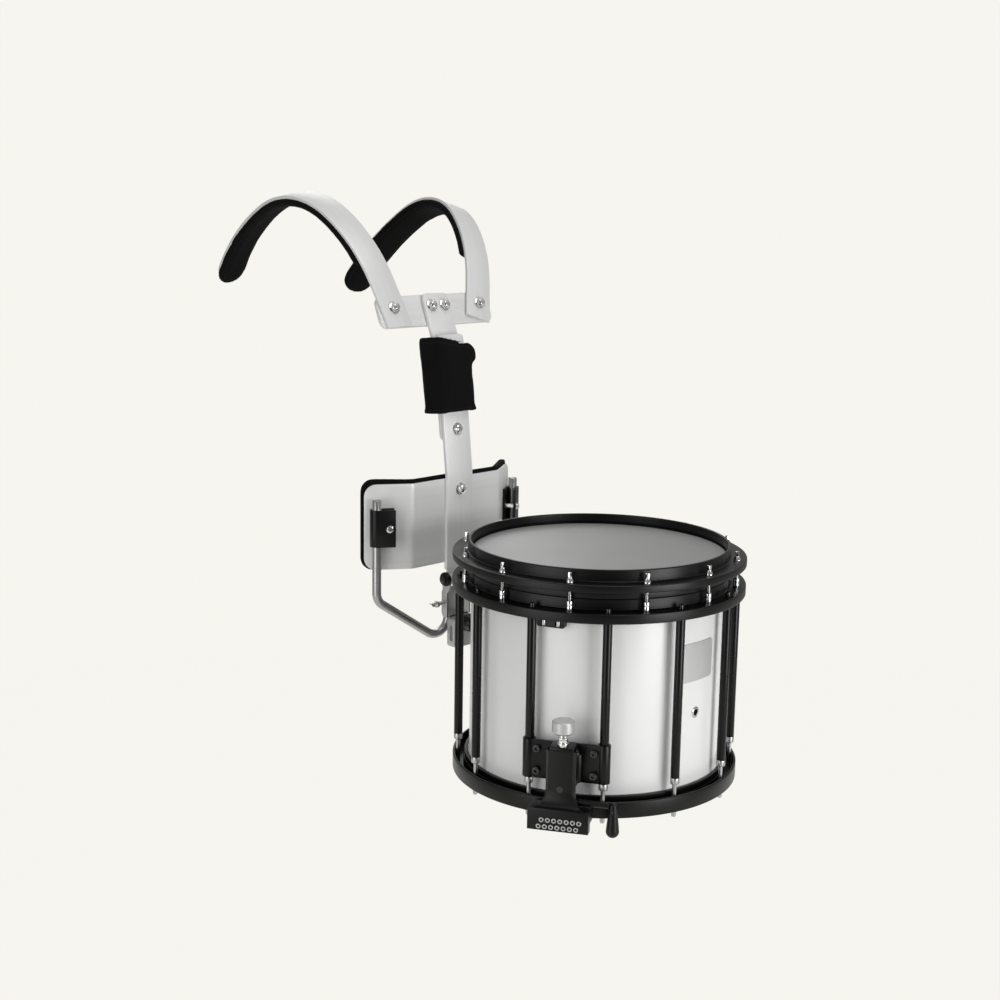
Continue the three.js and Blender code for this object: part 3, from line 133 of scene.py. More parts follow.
def drawn_aluminium(name, base=0.7, rough=0.5, grooves=0.0):
    """Extruded bar: faint drawing lines, and shallow extrusion grooves, along the U direction of its UV map."""
    m = Nodes(name)
    uv = m.coords(kind="UV")
    lines = m.noise(m.scaled(uv, (12, 900, 1)), 1, 4, 0.6)
    broad = m.noise(m.scaled(uv, (3, 140, 1)), 1, 3)
    cloud = m.noise(m.coords(), 9, 3)
    tone = m.mix(m.ramp(broad, 0, 1, 0.3, 0.75), base * 0.97, base * 1.03)
    tone = m.mix(m.ramp(cloud, 0, 0.4, 0.35, 0.75), tone, base * 0.93)
    normal = m.bump(lines, 0.07, 0.0002)
    if grooves:
        across = m.add("ShaderNodeSeparateXYZ", {"Vector": uv}).outputs[1]
        wave = m.math("PINGPONG", m.math("ADD", across, 10.0), grooves)
        normal = m.bump(m.ramp(wave, 0, 1, 0, grooves * 0.12), 0.6, 0.0005, normal)
    return m.set(base=tone, metal=0.3, rough=m.ramp(lines, rough - 0.04, rough + 0.08), spec=0.4, normal=normal,
                 aniso=0.3)


def cast_aluminium(name, base=0.36, rough=0.42, metal=0.6):
    m = Nodes(name)
    v = m.coords()
    cloud = m.noise(v, 30, 3)
    return m.set(base=m.mix(m.ramp(cloud, 0, 0.5, 0.35, 0.7), base, base * 0.86), metal=metal,
                 rough=m.ramp(cloud, rough - 0.08, rough + 0.1), normal=m.bump(m.noise(v, 420, 4, 0.6), 0.2, 0.0003))


def turned_metal(name, base=0.6, rough=0.3):
    """Satin turned part: fine rings of the tool round its axis, which is its own Z."""
    m = Nodes(name)
    rings = m.noise(m.coords((1, 1, 40)), 120, 3, 0.6)
    cloud = m.noise(m.coords(), 40, 3)
    return m.set(base=m.mix(m.ramp(cloud, 0, 0.4, 0.35, 0.7), base, base * 0.9), metal=0.55,
                 rough=m.ramp(rings, rough - 0.05, rough + 0.1), normal=m.bump(rings, 0.06, 0.0002))


def gloss_wrap():
    """Polished white covering: an even colour with a very slow shift, and a clear gloss that waves slightly."""
    m = Nodes("gloss_wrap")
    v = m.coords()
    peel = m.noise(v, 38, 2)
    return m.set(base=m.mix(m.ramp(m.noise(v, 5, 2), 0, 1, 0.3, 0.7), 0.745, 0.725), rough=m.ramp(peel, 0.3, 0.36),
                 coat=0.15, coat_rough=0.15, normal=m.bump(peel, 0.012, 0.0004))


def woven_head():
    m = Nodes("woven_film")
    v = m.coords()
    sep = m.add("ShaderNodeSeparateXYZ", {"Vector": v})
    threads = [m.math("SINE", m.math("MULTIPLY", sep.outputs[i], 2 * math.pi / 0.0009)) for i in (0, 1)]
    cloud = m.noise(v, 7, 3)
    return m.set(base=m.mix(m.ramp(cloud, 0, 0.4, 0.35, 0.75), 0.27, 0.23), rough=m.ramp(cloud, 0.34, 0.42), spec=0.4,
                 coat=0.1, coat_rough=0.2, normal=m.bump(m.math("MULTIPLY", *threads), 0.14, 0.0002))


def clear_film():
    m = Nodes("hazy_film")
    v = m.coords()
    cloud = m.noise(v, 8, 3)
    return m.set(base=m.mix(m.ramp(cloud, 0, 1, 0.3, 0.75), (0.62, 0.62, 0.61), (0.7, 0.7, 0.69)),
                 rough=m.ramp(cloud, 0.22, 0.34), coat=0.3, coat_rough=0.15,
                 normal=m.bump(m.noise(v, 300, 2), 0.05, 0.0003))


def foam_cloth(name, base=0.004, cell=1500):
    """Knitted cover of a foam pad: stitches of the knit, short fuzz, soft creases and a little lint."""
    m = Nodes(name)
    v = m.coords()
    knit = m.add("ShaderNodeTexVoronoi", {"Vector": v, "Scale": cell}).outputs["Distance"]
    fuzz = m.noise(v, cell * 0.7, 4, 0.7)
    crease = m.bump(m.noise(v, 26, 4, 0.55), 0.25, 0.002)
    dust = m.ramp(m.noise(v, 240, 5, 0.75), 0, 0.3, 0.66, 0.8)
    return m.set(base=m.mix(dust, base, 0.03), rough=0.95, sheen=0.02, sheen_rough=0.5, spec=0.08,
                 normal=m.bump(m.math("ADD", knit, fuzz), 0.35, 0.0003, crease))


BLACK = black_anodised("black_anodised")
BLACK_TUBE = black_anodised("black_tube", 0.002, 0.28)
BLACK_SCREW = black_anodised("black_screw", 0.006, 0.22, 0.6, 0.12)
CHROME = bright_plating("bright_chrome")
STEEL = bright_plating("zinc_screw", 0.62, 0.2)
ROD_STEEL = bright_plating("rod_steel", 0.4, 0.26)
BAR = drawn_aluminium("drawn_bar", 0.73, grooves=0.0065)
BAND = drawn_aluminium("drawn_band")
PLATE = drawn_aluminium("rolled_plate", 0.76, 0.42)
CAST = cast_aluminium("cast_grey", 0.48)
TURNED = turned_metal("turned_satin", 0.5)
BADGE = cast_aluminium("badge_metal", 0.5, 0.48, 0.35)
DULL = bright_plating("dull_plating", 0.45, 0.26)
WRAP = gloss_wrap()
WEAVE = woven_head()
FILM = clear_film()
FOAM = foam_cloth("foam_cloth")
CORD = cast_aluminium("coated_cord", 0.5, 0.5)
# A dull black used as painted shade: it darkens the vent holes and the screw seats and sockets of the snare clamp.
SHADE_BLACK = black_anodised("painted_shade_black", 0.002, 0.7, 0.1, 0.004)
THREAD = foam_cloth("sewing_thread", 0.02, 2500)


# ---------------------------------------------------------------- mesh helpers
def arc(cx, cy, r, a0, a1, n):
    return [(cx + r * math.cos(math.radians(a0 + (a1 - a0) * i / n)),
             cy + r * math.sin(math.radians(a0 + (a1 - a0) * i / n))) for i in range(n + 1)]


def fillet(points, radius, n=3, closed=True):
    """Rounds the corners of an outline. A point is (a, b) or (a, b, radius)."""
    out = []
    count = len(points)
    for i, p in enumerate(points):
        r = p[2] if len(p) > 2 else radius
        if r <= 0 or (not closed and i in (0, count - 1)):
            out.append((p[0], p[1]))
            continue
        a = Vector(points[i - 1][:2])
        b = Vector(p[:2])
        c = Vector(points[(i + 1) % count][:2])
        u, v = (a - b), (c - b)
        lu, lv = u.length, v.length
        if lu < 1e-6 or lv < 1e-6:
            continue
        u, v = u / lu, v / lv
        angle = u.angle(v)
        if angle > math.radians(176):
            out.append(tuple(b))
            continue
        t = min(r / math.tan(angle / 2), lu * 0.48, lv * 0.48)
        s, e = b + u * t, b + v * t
        for k in range(n + 1):
            w = k / n
            q = (1 - w) ** 2 * s + 2 * w * (1 - w) * b + w * w * e
            out.append((q.x, q.y))
    return out


def lathe(profile, seg=96, radius=0.0, n=3):
    """A solid of revolution about Z. The profile runs from axis to axis, or closes on itself."""
    closed = profile[0][0] > 0
    pts = fillet(profile, radius, n, closed) if radius or any(len(p) > 2 for p in profile) else profile
    bm = bmesh.new()
    rings = []
    for p in pts:
        if p[0] < 1e-6:
            rings.append([bm.verts.new((0, 0, p[1]))])
        else:
            turns = [2 * math.pi * k / seg for k in range(seg)]
            rings.append([bm.verts.new((p[0] * math.sin(a), -p[0] * math.cos(a), p[1])) for a in turns])
    pairs = list(zip(rings, rings[1:])) + ([(rings[-1], rings[0])] if closed else [])
    for a, b in pairs:
        for k in range(seg):
            q = [a[k % len(a)], a[(k + 1) % len(a)], b[(k + 1) % len(b)], b[k % len(b)]]
            face = [v for i, v in enumerate(q) if v not in q[:i]]
            if len(face) > 2:
                bm.faces.new(face)
    return bm


def moved(bm, *matrices):
    for m in matrices:
        bm.transform(m)
    return bm


def T(x, y, z):
    return Matrix.Translation((x, y, z))


def R(deg, axis):
    return Matrix.Rotation(math.radians(deg), 4, axis)


SIDES = ((-1, "-x"), (1, "x"))
AXES = {"z": Matrix.Identity(4), "y": R(-90, "X"), "-y": R(90, "X"), "x": R(90, "Y"), "-x": R(-90, "Y")}


def turned(axis, profile, at, seg=32, radius=0.0, n=2):
    """A lathe whose axis points along one direction from a place."""
    return moved(lathe(profile, seg, radius, n), AXES[axis], T(*at))


def loft(sections, caps=True):
    bm = bmesh.new()
    rings = [[bm.verts.new(p) for p in s] for s in sections]
    for a, b in zip(rings, rings[1:]):
        for k in range(len(a)):
            j = (k + 1) % len(a)
            bm.faces.new((a[k], a[j], b[j], b[k]))
    if caps:
        bm.faces.new(rings[0][::-1])
        bm.faces.new(rings[-1])
    return bm


def soften(bm, edges, offset, seg):
    bmesh.ops.bevel(bm, geom=edges, offset=offset, segments=seg, profile=0.5, affect="EDGES", clamp_overlap=True)


def slab(outline, lo, hi, plane="front", bevel=0.6, seg=2):
    """An outline given thickness, with softened rims: front is (x, z) along y, side (y, z) along x, plan (x, y)."""
    bm = bmesh.new()
    at = {"front": 1, "side": 0, "plan": 2}[plane]
    a, b = ([bm.verts.new((*p[:at], t, *p[at:2])) for p in outline] for t in (lo, hi))
    count = len(outline)
    bm.faces.new(a)
    bm.faces.new(b[::-1])
    for k in range(count):
        bm.faces.new((a[k], b[k], b[(k + 1) % count], a[(k + 1) % count]))
    bmesh.ops.recalc_face_normals(bm, faces=bm.faces)
    if bevel:
        rims = [e for e in bm.edges if (e.verts[0] in a) == (e.verts[1] in a)]
        soften(bm, rims, bevel, seg)
    return bm


def block(x0, x1, y0, y1, z0, z1, bevel=0.6, seg=2):
    bm = bmesh.new()
    bmesh.ops.create_cube(bm, size=1)
    bm.transform(T((x0 + x1) / 2, (y0 + y1) / 2, (z0 + z1) / 2) @ Matrix.Diagonal((x1 - x0, y1 - y0, z1 - z0, 1)))
    if bevel:
        soften(bm, bm.edges[:], bevel, seg)
    return bm


def rect(x0, x1, y0, y1, radius, n=5):
    return (arc(x1 - radius, y0 + radius, radius, -90, 0, n) + arc(x1 - radius, y1 - radius, radius, 0, 90, n)
            + arc(x0 + radius, y1 - radius, radius, 90, 180, n) + arc(x0 + radius, y0 + radius, radius, 180, 270, n))


def mesh_from(name, bm):
    bmesh.ops.recalc_face_normals(bm, faces=bm.faces)
    mesh = bpy.data.meshes.new(name)
    bm.to_mesh(mesh)
    bm.free()
    return mesh


def linked(name, data):
    """A new object in the scene."""
    o = bpy.data.objects.new(name, data)
    bpy.context.scene.collection.objects.link(o)
    return o


def mesh_of(o):
    """The evaluated mesh of an object, as data of its own."""
    bpy.context.view_layer.update()
    return bpy.data.meshes.new_from_object(o.evaluated_get(bpy.context.evaluated_depsgraph_get()))


def drop(o):
    """Removes an object with its mesh."""
    mesh = o.data
    bpy.data.objects.remove(o)
    bpy.data.meshes.remove(mesh)


def merge(*bms):
    out = bmesh.new()
    for bm in bms:
        mesh = mesh_from("part", bm)
        out.from_mesh(mesh)
        bpy.data.meshes.remove(mesh)
    return out


def cut(bm, *tools):
    """Takes tool meshes out of a mesh with an exact boolean."""
    body, tool = linked("cut_body", mesh_from("cut_body", bm)), linked("cut_tool", mesh_from("cut_tool", merge(*tools)))
    mod = body.modifiers.new("cut", "BOOLEAN")
    mod.operation, mod.object, mod.solver = "DIFFERENCE", tool, "EXACT"
    mesh = mesh_of(body)
    out = bmesh.new()
    out.from_mesh(mesh)
    drop(body)
    drop(tool)
    bpy.data.meshes.remove(mesh)
    return out


def hexagon(r, z0, z1, axis="z", at=(0, 0, 0)):
    """A hexagonal nut or bolt head with its corners turned off."""
    corners = [(r * math.cos(math.radians(60 * k)), r * math.sin(math.radians(60 * k))) for k in range(6)]
    return moved(slab(corners, z0, z1, "plan", r * 0.06), AXES[axis], T(*at))


def rod(r, z0, z1, seg=24):
    """A plain round bar about Z, which is also the tool for a bore."""
    return lathe([(0, z0), (r, z0), (r, z1), (0, z1)], seg)


def bore(axis, r, depth, at, seg=32, start=0):
    return moved(rod(r, start, depth, seg), AXES[axis], T(*at))


def socket_screw(r, height, axis="z", at=(0, 0, 0), hexr=None):
    """A round-headed socket screw: the head stands along the axis and its hexagon socket is open."""
    hexr = hexr or r * 0.5
    head = lathe([(0, 0), (r, 0), (r, height, r * 0.28), (hexr * 1.1, height), (hexr * 1.05, height - 0.15),
                  (0, height - 0.15)], 28, 0, 4)
    core = moved(rod(hexr, -height * 0.55, 0.02, 6), T(0, 0, height))
    return moved(cut(head, core), AXES[axis], T(*at))


def make(name, bm, mat, body, nodes=(), angle=32, uv=None, at=None, mesh=None):
    """Turns a mesh in drawing millimetres into a piece that rides on a body and stands for CAD nodes."""
    if mesh is None:
        mesh = mesh_from(name, moved(bm, TO_ROW))
        for p in mesh.polygons:
            p.use_smooth = True
        mesh.set_sharp_from_angle(angle=math.radians(angle))
        mesh.materials.append(mat)
        if uv:
            layer = mesh.uv_layers.new(name="UVMap")
            for loop in mesh.loops:
                co = mesh.vertices[loop.vertex_index].co
                layer.data[loop.index].uv = uv(co)
    o = linked(name, mesh)
    if at is not None:
        o.matrix_world = at
    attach(o, body)
    if nodes:
        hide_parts(*([nodes] if isinstance(nodes, str) else nodes))
    return o


def ring_of(prefix, bm, mat, body, start, nodes=None, angle=32):
    """Twelve copies of one mesh around the drum."""
    first = None
    for k in range(12):
        at = R(start + 30 * k, "Z")
        name = f"{prefix}_{k + 1:02d}"
        node = f"{nodes}_{k + 1:02d}" if nodes else ()
        o = make(name, bm if first is None else None, mat, body, node, angle, at=at, mesh=first)
        first = o.data


# ---------------------------------------------------------------- camera, stage and light
# The camera was fitted to the photograph. Its place is measured from the lower face of the bottom hoop.
camera = linked("camera", bpy.data.cameras.new("camera"))
forward = Vector((0.70033671, 0.6872855, -0.19278778))
right = Vector((0.70258067, -0.71142333, 0.01603886))
basis = Matrix((right, right.cross(forward), -forward)).transposed().to_4x4()
camera.matrix_world = T(-1.6847918, -1.4582279, 0.8207485 - H / 1000) @ basis
camera.data.sensor_width = 36
camera.data.lens = 58.919354
camera.data.clip_end = 50
bpy.context.scene.camera = camera

BACKDROP = (0.922, 0.913, 0.863)

# The floor shows the backdrop's colour to the camera and in reflections, and takes light as a pale floor does
stage = Nodes("pale_floor")
ray = stage.add("ShaderNodeLightPath").outputs
mirrored = stage.math("MAXIMUM", ray["Is Glossy Ray"], ray["Is Transmission Ray"])
share = stage.math("MULTIPLY", stage.math("MAXIMUM", ray["Is Camera Ray"], mirrored), 0.996)
stage.set(base=(0.8, 0.8, 0.776), rough=0.9)
glow = stage.add("ShaderNodeEmission", {"Color": BACKDROP, "Strength": 1.0}).outputs[0]
blend = stage.add("ShaderNodeMixShader", {0: share, 1: stage.bsdf.outputs[0], 2: glow}).outputs[0]
stage.tree.links.new(blend, stage.tree.nodes["Material Output"].inputs["Surface"])

floor_form = bmesh.new()
bmesh.ops.create_circle(floor_form, cap_ends=True, radius=3.6, segments=128)
floor = linked("floor", mesh_from("floor", moved(floor_form, T(0, 0, -1.15))))
floor.data.materials.append(stage.mat)

# The studio round the object: pale overhead, dim towards the photographer, who stands where the room is dark
world = bpy.data.worlds.new("studio")
bpy.context.scene.world = world
world.use_nodes = True
sky = world.node_tree
TOWARDS_CAMERA = (-0.70, -0.687, 0.2)


def sky_ramp(value, a, b, low, high):
    inputs = {"Value": value, "From Min": a, "From Max": b, "To Min": low, "To Max": high}
    return add_node(sky, "ShaderNodeMapRange", inputs).outputs[0]


way = add_node(sky, "ShaderNodeTexCoord").outputs["Generated"]
facing = add_node(sky, "ShaderNodeVectorMath", {0: way, 1: TOWARDS_CAMERA}, operation="DOT_PRODUCT").outputs["Value"]
height = add_node(sky, "ShaderNodeSeparateXYZ", {"Vector": way}).outputs[2]
parts = {0: sky_ramp(facing, 0.0, 0.7, 0.34, 0.12), 1: sky_ramp(height, 0.3, 0.8, 0.0, 0.35)}
level = add_node(sky, "ShaderNodeMath", parts, operation="ADD").outputs[0]
room = sky.nodes["Background"]
fill(sky, room.inputs[0], (1, 0.995, 0.98))
fill(sky, room.inputs[1], level)
seen_back = add_node(sky, "ShaderNodeBackground", {0: BACKDROP, 1: 1.0}).outputs[0]
straight = add_node(sky, "ShaderNodeLightPath").outputs["Is Camera Ray"]
pick = add_node(sky, "ShaderNodeMixShader", {0: straight, 1: room.outputs[0], 2: seen_back}).outputs[0]
fill(sky, sky.nodes["World Output"].inputs["Surface"], pick)

for name, place, aim, width, depth, power in (
        ("right_box", (0.12, -2.35, 0.0), (0, 0, 0), 1.1, 1.4, 36),
        ("left_box", (-2.3, 0.0, 0.1), (0, 0, 0), 1.4, 1.8, 20),
        ("top_box", (-0.1, -0.8, 2.15), (0, 0.1, 0), 0.9, 0.9, 13),
        ("back_box", (1.3, 1.9, 1.3), (0, 0.2, 0.1), 1.0, 1.4, 12)):
    light = bpy.data.lights.new(name, "AREA")
    light.shape, light.size, light.size_y, light.energy = "RECTANGLE", width, depth, power
    turn = (Vector(aim) - Vector(place)).to_track_quat("-Z", "Y")
    linked(name, light).matrix_world = T(*place) @ turn.to_matrix().to_4x4()

bpy.context.scene.view_settings.view_transform = "Standard"


# ---------------------------------------------------------------- the drum
TUBE_R = 193.4
ROD_R = 191.6

make("shell_wrap", lathe([
    (170.7, 17), (173.7, 11.5, 0.6), (177.7, 16.6, 1.2), (177.7, 309.6, 1.2), (173.7, 314.9, 0.6), (170.7, 310),
], 240, 0.4, 3), WRAP, "drum", "shell", 50)

make("batter_film", lathe(
    [(r, 316.0) for r in (0, 60, 120, 172)] + arc(174, 311.2, 4.8, 84, 0, 6) + [(178.8, 304.1), (178.0, 304.1)]
    + arc(174, 311.2, 4.0, 0, 84, 6) + [(172, 315.2), (0, 315.2)], 240), WEAVE, "drum", "batter_head", 60)
# The flesh hoops are black. The batter one reaches down over the shell to the edge ring: painted shade for the slot
# under the top hoop.
make("batter_flesh_hoop", lathe([(178.1, 292.3), (184, 292.3), (184, 304.1), (178.1, 304.1)], 192, 0.8, 3), BLACK,
     "drum")
make("snare_film", lathe(
    [(0, 11.0), (120, 11.0), (172, 11.0)] + arc(174, 15.8, 4.8, -84, 0, 6) + [(178.8, 24.8), (178.0, 24.8)]
    + arc(174, 15.8, 4.0, 0, -84, 6) + [(172, 11.8), (0, 11.8)], 192), FILM, "drum", "snare_head", 60)
make("snare_flesh_hoop", lathe([(178.9, 17.2), (184.4, 17.2), (184.4, 24.7), (178.9, 24.7)], 192, 0.8, 3), BLACK,
     "drum")

make("top_hoop_ring", lathe([
    (178, 330.4, 1.5), (182.4, 330.4, 2.2), (182.4, 314.5, 1.6), (204.2, 314.5, 1.6), (204.2, 304.5, 1.3),
    (179.3, 304.5, 0.6), (179.3, 317.6, 0.5), (178, 319, 0.5),
], 240, 0.5, 4), BLACK, "drum", "top_hoop", 40)
make("edge_ring_cast", lathe([
    (178.1, 263.7, 0.6), (204.2, 263.7, 1.3), (204.2, 277, 1.6), (184, 277, 1.6), (184, 292, 1.6), (178.1, 292, 0.6),
], 240, 0.5, 4), BLACK, "drum", "edge_ring", 40)

hoop = lathe([
    (179.1, 0, 0.8), (200.9, 0, 1.6), (200.9, 22.2, 1.7), (197.3, 22.2, 1.2), (197.3, 4.5, 1), (185.3, 4.5, 1),
    (185.3, 16.7, 0.8), (179.1, 16.7, 0.6),
], 240, 0.5, 3)
gates = [moved(block(-31, 31, -206, -170, -3, 12.6, 0), R(a, "Z")) for a in (-60, 120)]
make("bottom_hoop_channel", cut(hoop, *gates), BLACK, "drum", "bottom_hoop", 40)

# Lug tubes: black tube, bright collar and rod, and the screw on top of the cast ring
tube = lathe([(3.2, 46), (6.1, 46, 0.5), (6.1, 263.4, 0.4), (3.2, 263.4)], 40, 0, 2)
ring_of("lug_tube_black", moved(tube, T(0, -TUBE_R, 0)), BLACK_TUBE, "drum", 15, "lug_tube")
collar = merge(
    lathe([(2.9, 37), (5.2, 37, 0.4), (6.2, 38.2, 0.4), (6.2, 45.9, 0.4), (2.9, 45.9)], 36, 0, 2),
    rod(3, -1.9, 45),
    lathe([(2.4, -1.9, 0.2), (5, -1.9, 0.5), (5, -0.3, 0.3), (2.4, -0.3, 0.2)], 32, 0, 2),
    lathe([(0, -8.6), (2.6, -8.6, 0.9), (3.4, -6.6, 0.4), (3.4, -1.9), (0, -1.9)], 28, 0, 3))
ring_of("lug_rod", moved(collar, T(0, -TUBE_R, 0)), DULL, "drum", 15)
top_screw = merge(lathe([(0, 276.5), (3.9, 276.5, 0.3), (3.9, 278.2, 0.4), (0, 278.2)], 28, 0, 2),
                  socket_screw(3.3, 4.2, at=(0, 0, 278)))
ring_of("lug_screw", moved(top_screw, T(0, -TUBE_R, 0)), BLACK_SCREW, "drum", 15)

# Upper tension rods: key head, cone washer, threaded shank and grooved barrel nut
thread = []
z = 289.0
while z < 305:
    thread += [(2.45, z), (2.75, z + 0.4)]
    z += 0.8
shank = lathe([(0, 288.6)] + thread + [(2.6, 314.6), (0, 314.6)], 20)
washer = lathe([(2.6, 314.7), (5.1, 314.7, 0.3), (4.9, 315.7, 0.5), (3.1, 320.4, 1.2), (2.2, 320.8)], 32, 0, 3)
key_head = block(-2.3, 2.3, -2.3, 2.3, 319.6, 327.4, 0.5, 2)
key_foot = lathe([(0, 319), (3.1, 319, 0.3), (3.1, 320.9, 0.5), (0, 320.9)], 24, 0, 2)
nut = merge(lathe([(2.6, 277.3), (4.3, 277.3, 0.5), (4.3, 283.2, 0.5), (3.8, 283.5), (3.8, 284.1), (4.3, 284.4, 0.5),
                   (4.3, 289.6, 0.9), (3.2, 290.8, 0.4), (2.6, 290.8)], 40, 0, 3),
            lathe([(0, 264), (3.15, 264, 0.5), (3.15, 278), (0, 278)], 20, 0, 2))
whole_rod = moved(merge(shank, washer, key_head, key_foot, nut), T(0, -ROD_R, 0))
ring_of("tension_rod_bright", whole_rod, CHROME, "drum", 0, "tension_rod")


def shell_plate(width, z0, z1, corner, r0, r1, n=20, rim=0.35):
    """A rounded rectangular plate that follows the shell."""
    xs = [-width / 2 + corner * (1 - math.cos(math.radians(90 * k / 5))) for k in range(6)]
    xs = xs + [xs[-1] + (-2 * xs[-1]) * k / n for k in range(1, n)] + [-x for x in reversed(xs)]
    sections = []
    for i, x in enumerate(xs):
        d = max(abs(x) - (width / 2 - corner), 0)
        drop = corner - math.sqrt(max(corner * corner - d * d, 0))
        a = x / r0
        edge = i in (0, len(xs) - 1)
        top = r1 - (rim if edge else 0)
        lo, hi = z0 + drop, z1 - drop
        pts = [(r0, lo), (top - rim, lo), (top, lo + rim), (top, hi - rim), (top - rim, hi), (r0, hi)]
        sections.append([(r * math.sin(a), -r * math.cos(a), zz) for r, zz in pts])
    return loft(sections)


make("badge_rim", shell_plate(70, 167.5, 220.5, 6, 178.02, 178.9), BADGE, "drum", "badge", 40)
make("badge_field", shell_plate(64, 170.5, 217.5, 4, 178.5, 179.05), BADGE, "drum", angle=40)
for k, a in enumerate((-10.2, 10.2)):
    rivet = turned("-y", [(0, 0), (1.9, 0), (1.5, 0.7, 0.3), (0, 1.0)], (0, -178.9, 194), 20, 0, 3)
    make(f"badge_rivet_{k + 1}", moved(rivet, R(a, "Z")), BADGE, "drum")
VENT = (0, -178, 123)
grommet = [(4.4, -0.5), (7.6, -0.5), (7.6, 0.3), (6.4, 1.2, 0.6), (4.9, 1.3, 0.5), (4.4, 0.4)]
for k, a in enumerate((0, -120)):
    ring = turned("-y", grommet, VENT, 40, 0, 3)
    make(f"vent_ring_{k + 1}", moved(ring, R(a, "Z")), STEEL, "drum", f"vent_grommet_{k + 1:02d}")
    # A dull black disc in each grommet's bore is painted shade for the hole into the drum.
    painted_hole_shade = turned("-y", [(0, 0.05), (4.5, 0.05), (4.5, -2), (0, -2)], VENT, 32)
    make(f"vent_painted_shade_{k + 1}", moved(painted_hole_shade, R(a, "Z")), SHADE_BLACK, "drum")


# ---------------------------------------------------------------- brackets on the lug tubes
# These are drawn facing -Y and turned to their place round the drum.
TUBE_X, TUBE_Y = 50.056, -186.81
PLATE_FRONT = -194.21
KNOB = T(0, -210, 0)
LEVER = (0, -214, 27)
STRAINER = R(-60, "Z")
BUTT = R(120, "Z")
MOUNT = R(180, "Z")


def tube_bracket(z0, z1, inset):
    """A plate with a sleeve at each end, made as one extruded section, and its four bolt heads."""
    lobes = arc(-TUBE_X, TUBE_Y, 8.8, -57.2, -382.7, 40) + arc(TUBE_X, TUBE_Y, 8.8, 202.7, -122.8, 40)
    outline = [(*p, 1.2 if i in (0, 40, 41, 81) else 0) for i, p in enumerate(lobes)]
    body = slab(fillet(outline, 0), z0, z1, "plan", 0.7, 2)
    bores = [moved(rod(6.35, z0 - 3, z1 + 3, 40), T(s * TUBE_X, TUBE_Y, 0)) for s in (-1, 1)]
    bolts = [socket_screw(5.2, 5, "-y", (s * (TUBE_X - 12), PLATE_FRONT + 0.02, z))
             for s in (-1, 1) for z in (z0 + inset, z1 - inset)]
    return cut(body, *bores), merge(*bolts)


clamp_at = R(-67.69, "Z")
clamp_body = slab(rect(-19, 19, 251, 263.4, 3), -189.4, -178.5, "front", 1.1, 3)
screw_nests_and_painted_shade = [moved(rod(3.9, 253, 261.2, 32), T(x, -189.2, 0)) for x in (-10, 10)]
make("batter_clamp_block", moved(cut(clamp_body, *screw_nests_and_painted_shade), clamp_at), BLACK, "drum", "batter_clamp")
screws = [moved(lathe([(0, 253.1), (2.7, 253.1, 0.5), (2.7, 260.9, 0.8), (0, 260.9)], 32, 0, 3), T(x, -187.9, 0))
          for x in (-10, 10)]
make("batter_clamp_screws", moved(merge(*screws), clamp_at), DULL, "drum")

# Strainer: fixed frame with its housing, swinging arm with the flare, clamp block, knob and lever
plate, bolts = tube_bracket(47, 99.5, 10.9)
side_line = fillet([(-193.5, 47), (-220, 47), (-220, 95), (-218.6, 100), (-193.5, 101.5)], 1.6)
housing = cut(slab(side_line, -16.2, 16.2, "side", 1.3, 3), moved(rod(7.1, 44, 110, 40), KNOB))
make("strainer_plate", moved(merge(plate, housing), STRAINER), BLACK, "drum", "strainer_frame")
make("strainer_bolts", moved(bolts, STRAINER), BLACK_SCREW, "drum")


def flare_section(t):
    """The arm's front at a share of its flare, or above it when t is below zero, with turned-back edges."""
    turn = max(t, 0) * math.pi / 2
    spread = 1 - math.cos(turn)
    half, y, z = 16.6 + 20 * spread, -223.3 - 10.7 * spread, 45 - 23 * math.sin(turn) - min(t, 0) * 51.2
    dy, dz = -10.7 * math.sin(turn), -23 * math.cos(turn)
    size = math.hypot(dy, dz)
    back = 3.4 - 2.9 * max(t, 0)
    thick = 5.2 - 3.9 * max(t, 0)
    edge = [(-1.1, 0), (-0.5, 0.1), (-0.1, 0.4), (0.1, 0.8), (back, 0.8 + back), (back, thick)]
    pts = [(-half - x, d) for x, d in reversed(edge)] + [(half + x, d) for x, d in edge]
    return [(x, y - d * dz / size, max(z + d * dy / size, 21.75)) for x, d in pts]


front = loft([flare_section(-1)] + [flare_section(t / 20) for t in range(21)])
lip = turned("x", [(0, -16.9), (1.5, -16.9, 1), (1.5, 16.9, 1), (0, 16.9)], (0, -221.6, 96.1), 24, 0, 4)
cheeks = []
for side in (-1, 1):
    wall = [(17, -220), (20, -218.5), (20, -205), (20.6, -203.6), (23, -202.4), (23, -200.6), (19.8, -202),
            (18.3, -204.4), (18.3, -217)]
    cheeks.append(slab([(side * x, y) for x, y in fillet(wall, 0.5, 2)], 49.4, 88, "plan", 0.5, 2))
    lobe = arc(-213.3, 93, 5.6, 190, -30, 24) + [(-204.5, 86), (-204.5, 78), (-218.4, 78)]
    cheeks.append(slab(lobe, side * 19.3 - 1.1, side * 19.3 + 1.1, "side", 0.6, 2))
ear_line = fillet([(-208, 33, 4), (-208, 22, 1), (-232, 22, 1), (-231, 23.6, 1), (-222, 33, 4)], 0, 5)
ear = cut(slab(ear_line, 18, 40.4, "side", 0.8, 2), bore("x", 4.3, 60, (10, *LEVER[1:])))
make("strainer_arm_flare", moved(merge(front, lip, *cheeks, ear), STRAINER), BLACK, "arm", "strainer_arm",
     30)
pivot = [(0, -1.5), (4.1, -1.5), (4.1, 0.5, 0.6), (2.9, 1.2, 0.5), (2.2, 1.5, 0.3), (1.9, 0.9), (0, 0.9)]
pivots = [turned(axis, pivot, (s * 20.3, -213.3, 93), 32, 0, 3) for s, axis in SIDES]
arm_screw = socket_screw(4.3, 1.1, "-y", (0, -223.25, 45.5), 2.3)
make("strainer_arm_screws", moved(merge(*pivots, arm_screw), STRAINER), BLACK_SCREW, "arm")

